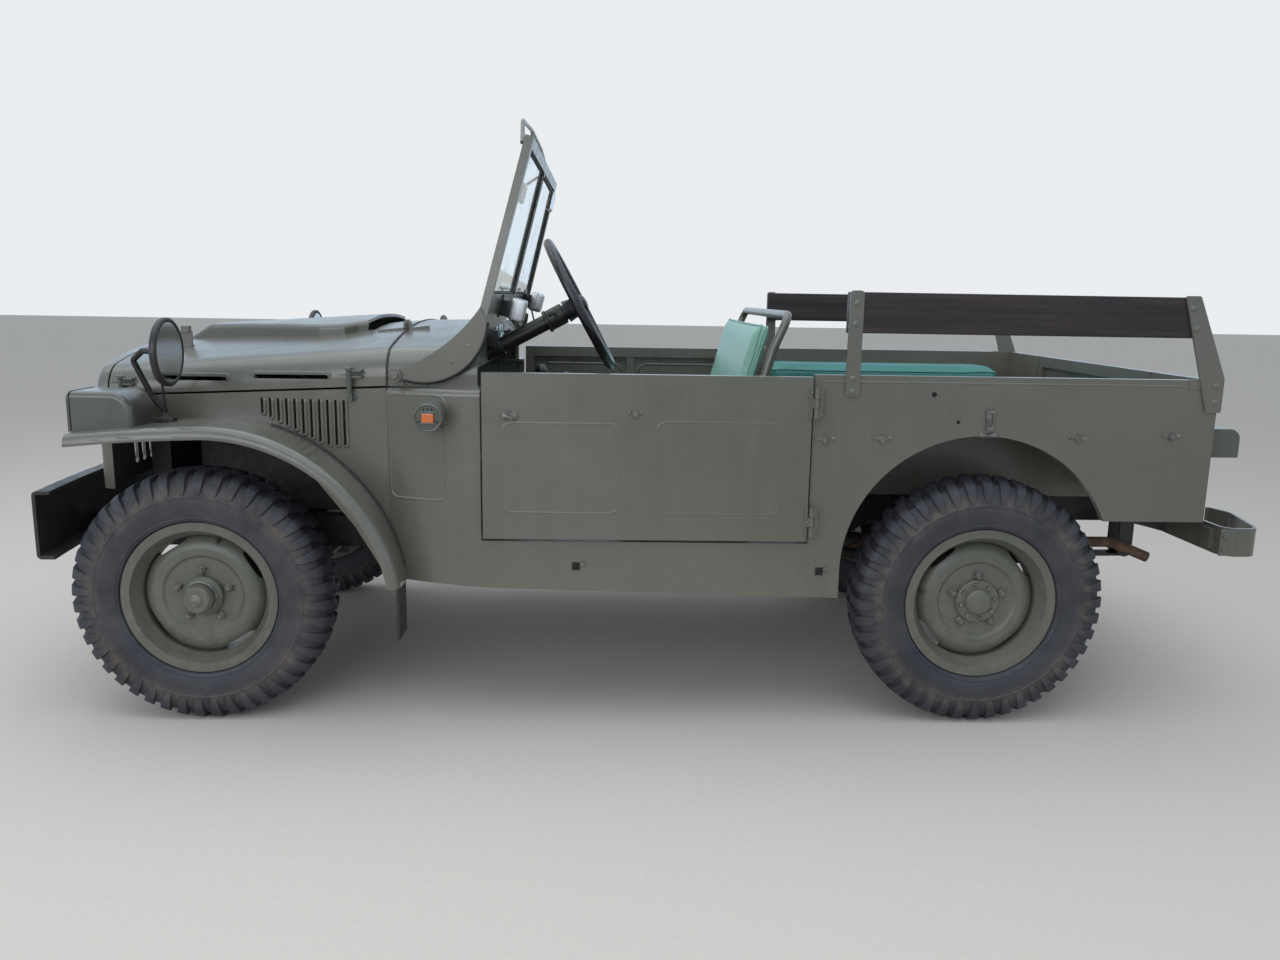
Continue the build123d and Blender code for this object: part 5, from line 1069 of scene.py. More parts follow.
def drain_lips():
    """Bent lips round the sill's square holes."""
    form = bmesh.new()
    for x, z in SILL_HOLES:
        y = skin_point(x, z).y
        rim = rounded(box_corners(x - 0.012, x + 0.012, z - 0.013, z + 0.013), 0.003, 3)
        swept(form, [(p.x, y, p.y) for p in rim], 0.0016, 6, closed=True)
        slab(form, (x - 0.026, y - 0.001, z + 0.002), (x - 0.011, y + 0.006, z + 0.013), 0.001)
    both_sides(form)
    return form


def hole_shade_plates():
    """Dark plates inside the small holes: painted shade where the holes' depth would be."""
    form = bmesh.new()
    for x, z in SILL_HOLES:
        y = skin_point(x, z).y
        plate = rounded(box_corners(x - 0.0115, x + 0.0115, z - 0.0125, z + 0.0125), 0.003, 3)
        side_sheet(form, plate, y - 0.001, y + 0.0003)
    for x, z, radius in ROUND_HOLES:
        y = skin_point(x, z).y
        disc = ((0, 0), (radius, 0), (radius, 0.0013), (0, 0.0013))
        turned(form, (x, y - 0.001, z), (0, 1, 0), disc, 20)
    both_sides(form)
    return form


finish_piece("side_presses", side_presses(), "chassis", body_paint, crease=60)
finish_piece("side_fittings", side_fittings(), "chassis", worn_steel, crease=30)
finish_piece("drain_lips", drain_lips(), "chassis", body_paint, crease=30)
# The plates are near black: painted shade inside the holes.
finish_piece("hole_shade_plates", hole_shade_plates(), "chassis", hole_shade_black, crease=30)

# %% [markdown]
# A rubber welt is squeezed between each wing and the body, and it draws the thin dark line that follows the
# wing's inner edge. It could be traced by hand, but a ray straight down finds the wing's top at every step
# beside the body, so the welt follows the real curve.

# %% Welts between wings and body
WELT = 0.0034
WELT_REAR = 0.752
WELT_FRONT = 1.6
WELT_STEP = 0.012
FLANK_NODES = ("engine_sides", "cowl_sides")


def wing_top(x, y):
    """Height of the wing's top at a place in plan, or None beside it."""
    hit, spot, _, _ = nodes["wings"].ray_cast(Vector((x, y, 1.6)), Vector((0, 0, -1)))
    return spot.z if hit else None


def welts():
    """The welt of both wings."""
    form = bmesh.new()
    points = []
    for number in range(int((WELT_FRONT - WELT_REAR) / WELT_STEP) + 1):
        x = WELT_REAR + number * WELT_STEP
        beside = skin_point(x, 0.8, FLANK_NODES)
        level = wing_top(x, beside.y + 0.012) if beside else None
        flank = skin_point(x, level + 0.004, FLANK_NODES) if level else None
        if flank:
            points.append(Vector((x, flank.y + WELT, level + WELT * 0.6)))
    swept(form, points, WELT, 8)
    print("welt follows", len(points), "points")
    both_sides(form)
    return form


finish_piece("wing_welts", welts(), "chassis", black_rubber, crease=60)

# %% [markdown]
# The bonnet is held down by two clamps a side. The frame leaves them out, because they are small. On the
# real car a short bar hooks into a bracket on the bonnet and is pulled down to a plate on the engine side.
# Bracket and bar are pieces on two bodies, so when the bonnet opens its brackets go with it and the bars
# stay.

# %% Bonnet clamps
# Clamp: X of its bar, height of the bracket, height of the plate
CLAMPS = ((0.898, 1.008, 0.944), (1.588, 0.966, 0.906))
BRACKET_WIDTH = 0.03
BAR_RADIUS = 0.0072
BAR_HEAD = ((0, 0), (0.0105, 0), (0.0105, 0.006), (0.008, 0.009), (0, 0.0095))


def node_side(x, z, name):
    """The outer side of one node."""
    return skin_point(x, z, (name,)).y


def clamp_brackets():
    """Brackets and hook wires on the bonnet's sides."""
    form = bmesh.new()
    for x, level, _ in CLAMPS:
        y = node_side(x - 0.02, level, "bonnet")
        rear = x - 0.01 - BRACKET_WIDTH
        slab(form, (rear, y - 0.003, level - 0.016), (x - 0.008, y + 0.003, level + 0.014), 0.001)
        for ear in (level - 0.008, level + 0.008):
            slab(form, (rear + 0.004, y, ear - 0.0035), (x - 0.008, y + 0.018, ear + 0.0035), 0.0012)
        hook = [(rear + 0.002, y + 0.013, level), (x, y + 0.0155, level),
                (x + 0.014, y + 0.0145, level - 0.001), (x + 0.03, y + 0.013, level - 0.004)]
        swept(form, hook, 0.0018, 6)
        for height in (-0.01, 0.009):
            screw(form, rear + 0.006, level + height, y + 0.003)
    both_sides(form)
    return form


def clamp_bars():
    """Bars with their heads, and the plates that take them on the engine sides."""
    form = bmesh.new()
    for x, level, plate in CLAMPS:
        y = node_side(x, plate, "engine_sides")
        out = node_side(x, level, "bonnet") + 0.0155
        slab(form, (x - 0.042, y - 0.003, plate - 0.011), (x + 0.01, y + 0.003, plate + 0.011), 0.001)
        slab(form, (x - 0.008, y + 0.002, plate - 0.014), (x + 0.008, y + 0.02, plate + 0.008), 0.003)
        bar = [(x, y + 0.014, plate - 0.004), (x, out, plate + 0.02), (x, out, level + 0.012)]
        swept(form, bar, BAR_RADIUS, 12)
        turned(form, (x, out, level + 0.01), (0, 0, 1), BAR_HEAD, 14)
        for reach in (-0.034, -0.02):
            screw(form, x + reach, plate, y + 0.003)
    x, _, plate = CLAMPS[1]
    y = node_side(x, 0.88, "engine_sides")
    slab(form, (x - 0.046, y - 0.002, 0.868), (x - 0.006, y + 0.004, plate + 0.008), 0.001)
    both_sides(form)
    return form


finish_piece("clamp_brackets", clamp_brackets(), "bonnet", lamp_paint, crease=30)
finish_piece("clamp_bars", clamp_bars(), "chassis", lamp_paint, crease=30)

# %% [markdown]
# The panes sit in black rubber. Two wipers turn on spindles in the lower rail, and their motors are silver
# boxes on the inside. All of it folds with the windscreen, so each thing is placed from the foot and the
# lean of the screen. Wipers could stand well clear of the glass, but a folded screen lies on the bonnet, so
# they are kept flat.

# %% Windscreen
SCREEN_FOOT = Vector((0.526, 0, 1.158))
SCREEN_LEAN = math.radians(14.5)
SCREEN_UP = Vector((-math.sin(SCREEN_LEAN), 0, math.cos(SCREEN_LEAN)))
SCREEN_AHEAD = Vector((math.cos(SCREEN_LEAN), 0, math.sin(SCREEN_LEAN)))
SCREEN_TURN = Matrix.Rotation(-SCREEN_LEAN, 4, "Y")
# Corners of the left pane: distance from the middle, height along the screen
PANE = ((0.012, 0.080), (0.6326, 0.080), (0.566, 0.492), (0.012, 0.492))
SEAL = 0.0062
SEAL_INSET = 0.003
SPINDLE_HEIGHT = 0.054
SPINDLE_CAP = ((0, 0), (0.011, 0), (0.011, 0.003), (0.007, 0.005), (0.007, 0.009), (0, 0.0095))
WIPER_Y = 0.35
WIPER_REACH = 0.15
INNER_MIRROR_HEIGHT = 0.41
# Wiper motors: Y, height on the screen, distance behind it
MOTORS = ((0.35, 0.046, 0.05), (-0.365, 0.066, 0.05))


def on_screen(y, height, ahead):
    """A point by its distance from the middle, its height along the screen and its distance ahead of it."""
    return SCREEN_FOOT + SCREEN_UP * height + SCREEN_AHEAD * ahead + Vector((0, y, 0))


def screen_slab(form, place, size, edge):
    """A rounded block that leans with the screen: size ahead, across and upwards."""
    middle_point = on_screen(*place)
    half = Vector(size) / 2
    slab(form, middle_point - half, middle_point + half, edge, SCREEN_TURN)


def pane_seals():
    """Rubber round both panes."""
    form = bmesh.new()
    middle_y = sum(y for y, _ in PANE) / 4
    middle_height = sum(height for _, height in PANE) / 4
    inner = [(y + math.copysign(SEAL_INSET, middle_y - y),
              height + math.copysign(SEAL_INSET, middle_height - height)) for y, height in PANE]
    line = rounded(inner, 0.018)
    for side in (1, -1):
        swept(form, [on_screen(side * p.x, p.y, 0) for p in line], SEAL, 8, closed=True)
    return form


def wipers():
    """Both wipers, parked along the foot of the panes."""
    form = bmesh.new()
    for side in (1, -1):
        y = side * WIPER_Y
        tip = y - side * WIPER_REACH
        turned(form, on_screen(y, SPINDLE_HEIGHT, 0.011), SCREEN_AHEAD, SPINDLE_CAP, 14)
        arm = [on_screen(y, SPINDLE_HEIGHT, 0.0175), on_screen(y - side * 0.04, 0.062, 0.0165),
               on_screen(tip, 0.092, 0.0125)]
        swept(form, arm, 0.0028, 6)
        screen_slab(form, (tip, 0.096, 0.0085), (0.007, 0.26, 0.006), 0.0012)
        screen_slab(form, (tip, 0.096, 0.0115), (0.003, 0.27, 0.004), 0.0008)
    return form


def motor_cases():
    """Silver cases of the wiper motors, inside the screen."""
    form = bmesh.new()
    for y, height, behind in MOTORS:
        screen_slab(form, (y, height, -behind - 0.014), (0.048, 0.058, 0.07), 0.011)
    return form


def motor_mounts():
    """Black mounts and cables of the motors, the mirror inside and its stalk."""
    form = bmesh.new()
    for y, height, behind in MOTORS:
        screen_slab(form, (y, height - 0.004, -behind / 2 - 0.008), (behind - 0.006, 0.044, 0.05), 0.005)
        screen_slab(form, (y, height, -0.014), (0.005, 0.075, 0.07), 0.0015)
        start = on_screen(y - 0.02, height - 0.03, -behind)
        low = Vector((0.49, y * 0.85, 1.13))
        for shift in (0, 0.012):
            cable = [start + Vector((0, shift, 0)),
                     start.lerp(low, 0.5) + Vector((-0.025, shift * 2, -0.02)),
                     low + Vector((0.01, shift, -0.02)), low + Vector((0.03, shift, -0.06))]
            swept(form, cable, 0.0026, 6)
    swept(form, [on_screen(0, 0.478, -0.01), on_screen(0, 0.44, -0.045)], 0.0045, 8)
    screen_slab(form, (0, INNER_MIRROR_HEIGHT, -0.052), (0.014, 0.15, 0.062), 0.0065)
    return form


def inner_mirror_face():
    """The glass of the mirror inside."""
    form = bmesh.new()
    screen_slab(form, (0, INNER_MIRROR_HEIGHT, -0.0595), (0.002, 0.138, 0.05), 0.0006)
    return form


finish_piece("pane_seals", pane_seals(), "windscreen", black_rubber, crease=60)
finish_piece("wipers", wipers(), "windscreen", black_plastic, crease=30)
finish_piece("motor_cases", motor_cases(), "windscreen", bright_metal, crease=40)
finish_piece("motor_mounts", motor_mounts(), "windscreen", black_plastic, crease=40)
finish_piece("inner_mirror_face", inner_mirror_face(), "windscreen", mirror_face, crease=30)

# %% [markdown]
# Each arm of the windscreen is bolted to its pivot on the scuttle. A rubber strip under the curved arm
# closes the gap to the body. The curve is an arc through the same three points as the frame's arm, so the
# strip can't leave it.

# %% Windscreen arms and their pivots
PIVOT = Vector((0.763, 0.684, 1.008))
ARM_MIDDLE = 0.666
ARM_CURVE = ((0.509, 1.158), (0.577, 1.028), (0.739, 0.998))
ARM_RIVETS = ((0.560, 1.093), (0.606, 1.046))
ARM_OUTSIDE = 0.676
PIVOT_WASHER = ((0, 0), (0.0165, 0), (0.0165, 0.002), (0, 0.002))
PIVOT_HEAD = ((0, 0.002), (0.0115, 0.002), (0.0115, 0.0085), (0.0095, 0.0105), (0, 0.0105))


def arc_through(first, via, last, count=18):
    """Points along the arc through three points in a plane."""
    (ax, ay), (bx, by), (cx, cy) = first, via, last
    twice = 2 * (ax * (by - cy) + bx * (cy - ay) + cx * (ay - by))
    a2, b2, c2 = ax * ax + ay * ay, bx * bx + by * by, cx * cx + cy * cy
    x = (a2 * (by - cy) + b2 * (cy - ay) + c2 * (ay - by)) / twice
    y = (a2 * (cx - bx) + b2 * (ax - cx) + c2 * (bx - ax)) / twice
    radius = math.hypot(ax - x, ay - y)
    start, end = math.atan2(ay - y, ax - x), math.atan2(cy - y, cx - x)
    turn = (end - start + math.pi) % (2 * math.pi) - math.pi
    return [(x + radius * math.cos(start + turn * n / count), y + radius * math.sin(start + turn * n / count))
            for n in range(count + 1)]


def arm_seals():
    """Rubber strips under both arms."""
    form = bmesh.new()
    swept(form, [(x, ARM_MIDDLE + 0.004, z - 0.001) for x, z in arc_through(*ARM_CURVE)], 0.0065, 8)
    both_sides(form)
    return form


def pivot_bolts():
    """Washer and bolt head on each pivot."""
    form = bmesh.new()
    turned(form, PIVOT, (0, 1, 0), PIVOT_WASHER, 24)
    turned(form, PIVOT, (0, 1, 0), PIVOT_HEAD, 6)
    both_sides(form)
    return form


def arm_rivets():
    """Rivets between each arm and its post."""
    form = bmesh.new()
    for x, z in ARM_RIVETS:
        screw(form, x, z, ARM_OUTSIDE)
    both_sides(form)
    return form


finish_piece("arm_seals", arm_seals(), "windscreen", black_rubber, crease=60)
finish_piece("arm_rivets", arm_rivets(), "windscreen", worn_steel, crease=40)
finish_piece("pivot_bolts", pivot_bolts(), "chassis", body_paint, crease=30)

# %% [markdown]
# A rubber strip lies in the gap between bonnet and scuttle and shows as the broad dark line over the
# shoulders. Rays from all round towards the middle of the section find the scuttle's edge, and the strip
# follows them just in front.

# %% Seal between bonnet and scuttle
SEAL_X = 0.7915
SCUTTLE_X = 0.784
SECTION_MIDDLE = Vector((SCUTTLE_X, 0, 0.80))


def scuttle_seal():
    """The rubber strip over the whole section, from side to side."""
    form = bmesh.new()
    points = []
    for degrees in range(15, 166, 2):
        away = Vector((0, math.cos(math.radians(degrees)), math.sin(math.radians(degrees))))
        for name in ("scuttle", "cowl_sides"):
            hit, spot, _, _ = nodes[name].ray_cast(SECTION_MIDDLE + away * 1.5, -away)
            if hit and (spot - SECTION_MIDDLE).length > 0.2:
                points.append(Vector((SEAL_X, spot.y, spot.z)) - away * 0.0015)
                break
    swept(form, points, 0.0046, 8)
    print("scuttle seal follows", len(points), "points")
    return form


finish_piece("scuttle_seal", scuttle_seal(), "chassis", black_rubber, crease=60)

# %% [markdown]
# Lamps are bought parts: a painted body, a bezel, a lens. The amber side lamp sits between two visors in a
# ring, the tail lamps have red lenses, and the headlamp's door is held by a strip whose joint shows as a
# dark line. A lens needs depth to look like one, so each is a rounded form with a clear, coloured finish
# instead of a painted disc.

# %% Lamps
# Middle of the left side lamp, two corners of the left tail lamp's box, middle of the left headlamp glass
SIDE_LAMP = Vector((0.659, 0.766, 0.902))
TAIL_LAMP = ((-1.630, 0.612, 0.808), (-1.532, 0.697, 0.890))
HEADLAMP = Vector((1.642, 0.655, 0.894))
HEADLAMP_HALF = 0.075
HEADLAMP_TOP = 0.956
SIDE_LAMP_RING = ((0, -0.002), (0.0395, -0.002), (0.0395, 0.004), (0.0365, 0.0065), (0.0335, 0.006),
                  (0.0325, 0.003), (0.0, 0.003))
SIDE_LAMP_SCREW = ((0, 0), (0.0028, 0), (0.0026, 0.0009), (0, 0.0012))
TAIL_LENS = ((0, -0.002), (0.029, -0.002), (0.029, 0.006), (0.022, 0.0095), (0.01, 0.0115), (0, 0.012))
TAIL_RIM = ((0.029, -0.002), (0.0355, -0.002), (0.0355, 0.004), (0.033, 0.006), (0.029, 0.006))
HEADLAMP_RIM = ((0.0535, -0.006), (0.0605, -0.001), (0.0605, 0.0015), (0.057, 0.0032), (0.0535, 0.0012))


def side_lamp_rings():
    """Ring, face and visors of the side lamps."""
    form = bmesh.new()
    turned(form, SIDE_LAMP, (0, 1, 0), SIDE_LAMP_RING, 36)
    for level in (0.0125, -0.0165):
        low = SIDE_LAMP + Vector((-0.0185, 0.002, level))
        slab(form, low, SIDE_LAMP + Vector((0.0185, 0.0135, level + 0.0038)), 0.001)
    both_sides(form)
    return form


def side_lamp_lenses():
    """Amber lenses between the visors."""
    form = bmesh.new()
    low = SIDE_LAMP + Vector((-0.0165, 0.001, -0.0135))
    slab(form, low, SIDE_LAMP + Vector((0.0165, 0.0125, 0.0135)), 0.0045)
    both_sides(form)
    return form


def lamp_holes():
    """Dark screws and holes of the side lamps, and the joint of the headlamp doors."""
    form = bmesh.new()
    # The screws and holes are near black: painted shade for the holes, as in the hole plates.
    for dx, dz in ((-0.011, 0.0225), (0, 0.0245), (0.011, 0.0225), (-0.025, -0.0115), (0.025, -0.0115)):
        turned(form, SIDE_LAMP + Vector((dx, 0.0028, dz)), (0, 1, 0), SIDE_LAMP_SCREW, 10)
    y, low = HEADLAMP.y, 0.85
    half, top = HEADLAMP_HALF - 0.0005, HEADLAMP_TOP - 0.0005
    door = rounded(box_corners(y - half, y + half, 0.7, top), 0.016)
    line = [(y - half, low), *((p.x, p.y) for p in door if p.y > low), (y + half, low)]
    line = sorted(line, key=lambda p: math.atan2(p[1] - low, p[0] - y))
    swept(form, [(HEADLAMP.x - 0.011, py, pz) for py, pz in line], 0.0021, 6)
    both_sides(form)
    return form


def tail_spot():
    """Middle of the left tail lamp's rear face."""
    (x, y0, z0), (_, y1, z1) = TAIL_LAMP
    return Vector((x, (y0 + y1) / 2, (z0 + z1) / 2))


def tail_lenses():
    """Red domed lenses of the tail lamps."""
    form = bmesh.new()
    turned(form, tail_spot(), (-1, 0, 0), TAIL_LENS, 28)
    both_sides(form)
    return form


def tail_rings():
    """Painted rims round the tail lenses."""
    form = bmesh.new()
    turned(form, tail_spot(), (-1, 0, 0), TAIL_RIM, 28, ring=True)
    both_sides(form)
    return form


def headlamp_rims():
    """Painted rims round the headlamp glasses."""
    form = bmesh.new()
    turned(form, HEADLAMP, (1, 0, 0), HEADLAMP_RIM, 40, ring=True)
    both_sides(form)
    return form


finish_piece("side_lamp_rings", side_lamp_rings(), "chassis", lamp_paint, crease=30)
finish_piece("side_lamp_lenses", side_lamp_lenses(), "chassis", amber_lens, crease=40)
finish_piece("lamp_holes", lamp_holes(), "chassis", hole_shade_black, crease=40)
finish_piece("tail_lenses", tail_lenses(), "chassis", red_lens, crease=40)
finish_piece("tail_rings", tail_rings(), "chassis", lamp_paint, crease=30)
finish_piece("headlamp_rims", headlamp_rims(), "chassis", lamp_paint, crease=30)

# %% [markdown]
# The mirrors stand on bent tubes with a thin stay. Their glass faces rearwards in a thick rubber rim, which
# the photo shows clearly. The rim lies on the edge of the frame's disc, so it grows no wider than the car.

# %% Mirrors
MIRROR = Vector((1.367, 0.700, 1.064))
MIRROR_RIM = 0.0855
MIRROR_FOOT = Vector((1.422, 0.622, 0.872))
MIRROR_DISC = ((0, -0.001), (0.0815, -0.001), (0.0815, 0.0012), (0.0795, 0.0018), (0, 0.0022))
FOOT_GROMMET = ((0, -0.006), (0.021, -0.006), (0.021, 0.002), (0.013, 0.009), (0.01, 0.02), (0, 0.02))
MIRROR_BOSS = ((0, 0), (0.019, 0), (0.019, 0.008), (0.016, 0.012), (0.016, 0.022), (0, 0.024))


def mirror_rims():
    """Rubber rims round the mirrors, stays and the grommets at their feet."""
    form = bmesh.new()
    circle = [MIRROR + Vector((0.003, MIRROR_RIM * math.cos(a), MIRROR_RIM * math.sin(a)))
              for a in (2 * math.pi * n / 56 for n in range(56))]
    swept(form, circle, 0.0072, 10, closed=True)
    boss = MIRROR + Vector((0.022, 0, -0.003))
    stay = [boss, boss + Vector((0.012, -0.012, -0.03)), MIRROR_FOOT + Vector((-0.004, 0.004, 0.012))]
    swept(form, stay, 0.0032, 8)
    turned(form, MIRROR_FOOT, (0, 0, 1), FOOT_GROMMET, 20)
    turned(form, boss - Vector((0.012, 0, 0)), (1, 0, 0), MIRROR_BOSS, 18)
    both_sides(form)
    return form


def mirror_faces():
    """The mirrors' glass."""
    form = bmesh.new()
    turned(form, MIRROR, (-1, 0, 0), MIRROR_DISC, 48)
    both_sides(form)
    return form


finish_piece("mirror_rims", mirror_rims(), "chassis", black_rubber, crease=40)
finish_piece("mirror_faces", mirror_faces(), "chassis", mirror_face, crease=30)

# %% [markdown]
# Inside the windscreen the photo shows the column with a thick collar under the wheel, a dark dash with
# dials, and knobs of levers above the door. Their exact form can't be seen, so plain period parts fill the
# places that show.

# %% Steering column, dash and levers
WHEEL_CENTRE_POINT = Vector((0.262, 0.370, 1.206))
RAKE = math.radians(28)
COLUMN_AXIS = Vector((-math.cos(RAKE), 0, math.sin(RAKE)))
DASH = 0.5402
# Dials: Y, Z, radius
DIALS = ((0.185, 1.088, 0.043), (0.098, 1.110, 0.0215), (0.098, 1.064, 0.0215), (0.044, 1.110, 0.0215))
KNOBS = ((0.044, 1.062), (0.008, 1.062), (-0.028, 1.062), (-0.028, 1.106), (-0.064, 1.084))
# Levers: foot, bend, knob, knob radius
LEVERS = (((0.520, 0.03, 0.552), (0.470, 0.03, 0.80), (0.404, 0.02, 0.978), 0.021),
          ((0.430, -0.05, 0.552), (0.380, -0.05, 0.78), (0.322, -0.045, 0.955), 0.016),
          ((0.455, 0.13, 0.552), (0.400, 0.13, 0.70), (0.318, 0.13, 0.862), 0.014))
PEDALS = (0.30, 0.42, 0.51)
# Grab handle before the passenger: X from the dash, Y
GRAB_HANDLE = ((0.002, -0.27), (-0.032, -0.275), (-0.04, -0.30), (-0.04, -0.47), (-0.032, -0.495),
               (0.002, -0.50))
GRAB_HEIGHT = 1.085
# Collars: distance down from the wheel's centre, length, radius
COLLARS = ((0.054, 0.052, 0.0315), (0.106, 0.010, 0.0345), (0.268, 0.030, 0.0285))
WHEEL_CAP = ((0, 0), (0.0275, 0), (0.0275, 0.005), (0.024, 0.011), (0.014, 0.015), (0, 0.0165))
INDICATOR_KNOB = ((0, 0), (0.007, 0.001), (0.0085, 0.01), (0.006, 0.019), (0, 0.021))
PULL_KNOB = ((0, 0), (0.0045, 0), (0.0045, 0.016), (0.010, 0.018), (0.0115, 0.024), (0.0085, 0.031),
             (0, 0.033))
# A lever's knob, as shares of its radius
LEVER_KNOB = ((0, -0.9), (0.6, -0.8), (1, -0.1), (0.92, 0.4), (0.5, 0.85), (0, 1))
LEVER_BOOT = ((0, 0), (0.046, 0), (0.046, 0.004), (0.041, 0.007), (0.034, 0.014), (0.029, 0.024),
              (0.0265, 0.036), (0.022, 0.047), (0.0155, 0.055), (0.0115, 0.062), (0, 0.062))


def wheel_trim():
    """Cap of the steering wheel."""
    form = bmesh.new()
    turned(form, WHEEL_CENTRE_POINT + COLUMN_AXIS * 0.007, COLUMN_AXIS, WHEEL_CAP, 28)
    return form


def column_trim():
    """Collars, clamp and indicator lever of the column."""
    form = bmesh.new()
    for start, length, radius in COLLARS:
        collar = ((0, 0), (radius - 0.002, 0), (radius, 0.002), (radius, length - 0.002),
                  (radius - 0.002, length), (0, length))
        turned(form, WHEEL_CENTRE_POINT - COLUMN_AXIS * start, -COLUMN_AXIS, collar, 28)
    root = WHEEL_CENTRE_POINT - COLUMN_AXIS * 0.08
    tip = root + Vector((0.01, 0.14, 0.012))
    swept(form, [root, root.lerp(tip, 0.5) + Vector((0, 0, 0.006)), tip], 0.0032, 8)
    turned(form, tip - Vector((0, 0.006, 0)), (0, 1, 0), INDICATOR_KNOB, 14)
    foot = WHEEL_CENTRE_POINT - COLUMN_AXIS * 0.283
    slab(form, foot + Vector((-0.004, -0.036, 0.0)), foot + Vector((0.026, 0.036, 0.052)), 0.002)
    return form


def dial_rims():
    """Bright rims round the dials."""
    form = bmesh.new()
    for y, z, radius in DIALS:
        rim = ((radius, 0), (radius + 0.0035, 0), (radius + 0.003, 0.006), (radius, 0.0085),
               (radius - 0.003, 0.006))
        turned(form, (DASH, y, z), (-1, 0, 0), rim, 36, ring=True)
    return form


def on_dial(y, z, reach, angle, ahead):
    """A point before a dial, at a distance from its middle and an angle on its face."""
    return Vector((DASH - ahead, y + reach * math.cos(angle), z + reach * math.sin(angle)))


def dial_marks():
    """Pale marks and needles of the dials."""
    form = bmesh.new()
    for number, (y, z, radius) in enumerate(DIALS):
        for mark in range(11):
            angle = math.radians(220 - 26 * mark)
            middle_point = on_dial(y, z, 0.8 * radius, angle, 0.0048)
            half = Vector((0.0003, 0.08 * radius, 0.02 * radius))
            slab(form, middle_point - half, middle_point + half, 0, Matrix.Rotation(angle, 4, "X"))
        angle = math.radians(200 - 25 * number)
        needle = [on_dial(y, z, 0, angle, 0.0054), on_dial(y, z, 0.7 * radius, angle, 0.0054)]
        swept(form, needle, 0.025 * radius, 5)
    return form


def dash_parts():
    """Instrument plate, dial faces, knobs, lever knobs and boots, and pedal pads."""
    form = bmesh.new()
    slab(form, (DASH - 0.0025, -0.088, 1.037), (DASH + 0.002, 0.240, 1.138), 0.0008)
    for y, z, radius in DIALS:
        face = ((0, 0), (radius, 0), (radius, 0.0044), (0, 0.0044))
        turned(form, (DASH, y, z), (-1, 0, 0), face, 32)
    for y, z in KNOBS:
        turned(form, (DASH, y, z), (-1, 0, 0), PULL_KNOB, 16)
    for foot, _, knob, radius in LEVERS:
        turned(form, knob, (0, 0, 1), [(out * radius, up * radius) for out, up in LEVER_KNOB], 18)
        turned(form, foot, (0, 0, 1), LEVER_BOOT, 24)
    for y in PEDALS:
        slab(form, (0.604, y - 0.028, 0.668), (0.616, y + 0.028, 0.728), 0.004, Matrix.Rotation(0.5, 4, "Y"))
    return form


def lever_rods():
    """Steel rods of the levers and pedals, and the grab handle."""
    form = bmesh.new()
    for foot, bend, knob, _ in LEVERS:
        swept(form, [Vector(foot) + Vector((0, 0, 0.02)), bend, knob], 0.0065, 8)
    for y in PEDALS:
        swept(form, [(0.616, y, 0.696), (0.668, y, 0.640), (0.700, y, 0.556)], 0.0075, 8)
    swept(form, [(DASH + x, y, GRAB_HEIGHT) for x, y in GRAB_HANDLE], 0.0085, 10)
    return form


finish_piece("wheel_trim", wheel_trim(), "steering_wheel", black_plastic, crease=35)
finish_piece("column_trim", column_trim(), "chassis", chassis_black, crease=35)
finish_piece("dial_rims", dial_rims(), "chassis", bright_metal, crease=35)
finish_piece("dial_marks", dial_marks(), "chassis", white_dial, crease=35)
finish_piece("dash_parts", dash_parts(), "chassis", black_plastic, crease=35)
finish_piece("lever_rods", lever_rods(), "chassis", worn_steel, crease=35)

# %% [markdown]
# The inner side of the far door shows above the near one: two fields with rounded corners and a post
# between them. Floors are pressed with long ribs, and the front one carries rubber mats. Ribs could be a
# bump in the paint, but their ends would look flat from the side, so they are formed.

# %% Inner doors, floors and tailgate
INNER_SKIN = 0.732
INNER_FIELDS = ((-0.335, 0.052, 0.625, 0.955), (0.118, 0.462, 0.625, 0.955))
DOOR_POST = (0.068, 0.100)
LOAD_RIBS = (-0.36, -0.24, -0.12, 0.0, 0.12, 0.24, 0.36)
MATS = ((0.205, 0.700, 0.165, 0.640), (0.205, 0.700, -0.640, -0.165))
LOAD_FLOOR = 0.652
FRONT_FLOOR = 0.552
MAT_RIB_STEP = 0.019
GATE_FACE = -1.532
GATE_FIELD = (-0.345, 0.345, 0.715, 0.965)
GATE_LATCH = 0.385
BOLT = ((0.0, 0.0), (0.0085, 0.0), (0.0085, 0.0045), (0.007, 0.006), (0.0, 0.006))


def inner_door():
    """Fields, post and latch rod on the inner side of the left door."""
    form = bmesh.new()
    for field in INNER_FIELDS:
        line = rounded(box_corners(*field), 0.045)
        swept(form, [(p.x, INNER_SKIN + 0.0015, p.y) for p in line], 0.0055, 8, closed=True)
    slab(form, (DOOR_POST[0], INNER_SKIN - 0.018, 0.602), (DOOR_POST[1], INNER_SKIN + 0.001, 0.983), 0.002)
    swept(form, [(0.115, INNER_SKIN - 0.006, 0.972), (0.42, INNER_SKIN - 0.006, 0.972),
                 (0.442, INNER_SKIN - 0.008, 0.93)], 0.0035, 6)
    slab(form, (0.43, INNER_SKIN - 0.016, 0.90), (0.474, INNER_SKIN, 0.95), 0.002)
    return form


def floor_ribs():
    """Ribs of the load floor."""
    form = bmesh.new()
    crest, end = LOAD_FLOOR - 0.0035, LOAD_FLOOR - 0.007
    for y in LOAD_RIBS:
        swept(form, [(-1.42, y, end), (-1.40, y, crest), (-0.52, y, crest), (-0.50, y, end)], 0.0075, 10)
    return form


def floor_mats():
    """Ribbed rubber mats on the front floor."""
    form = bmesh.new()
    level = FRONT_FLOOR
    for x0, x1, y0, y1 in MATS:
        slab(form, (x0, y0, level), (x1, y1, level + 0.005), 0.0015)
        count = int((y1 - y0) / MAT_RIB_STEP)
        for number in range(1, count):
            y = y0 + number * (y1 - y0) / count
            slab(form, (x0 + 0.01, y - 0.003, level + 0.004), (x1 - 0.01, y + 0.003, level + 0.0075), 0)
    return form


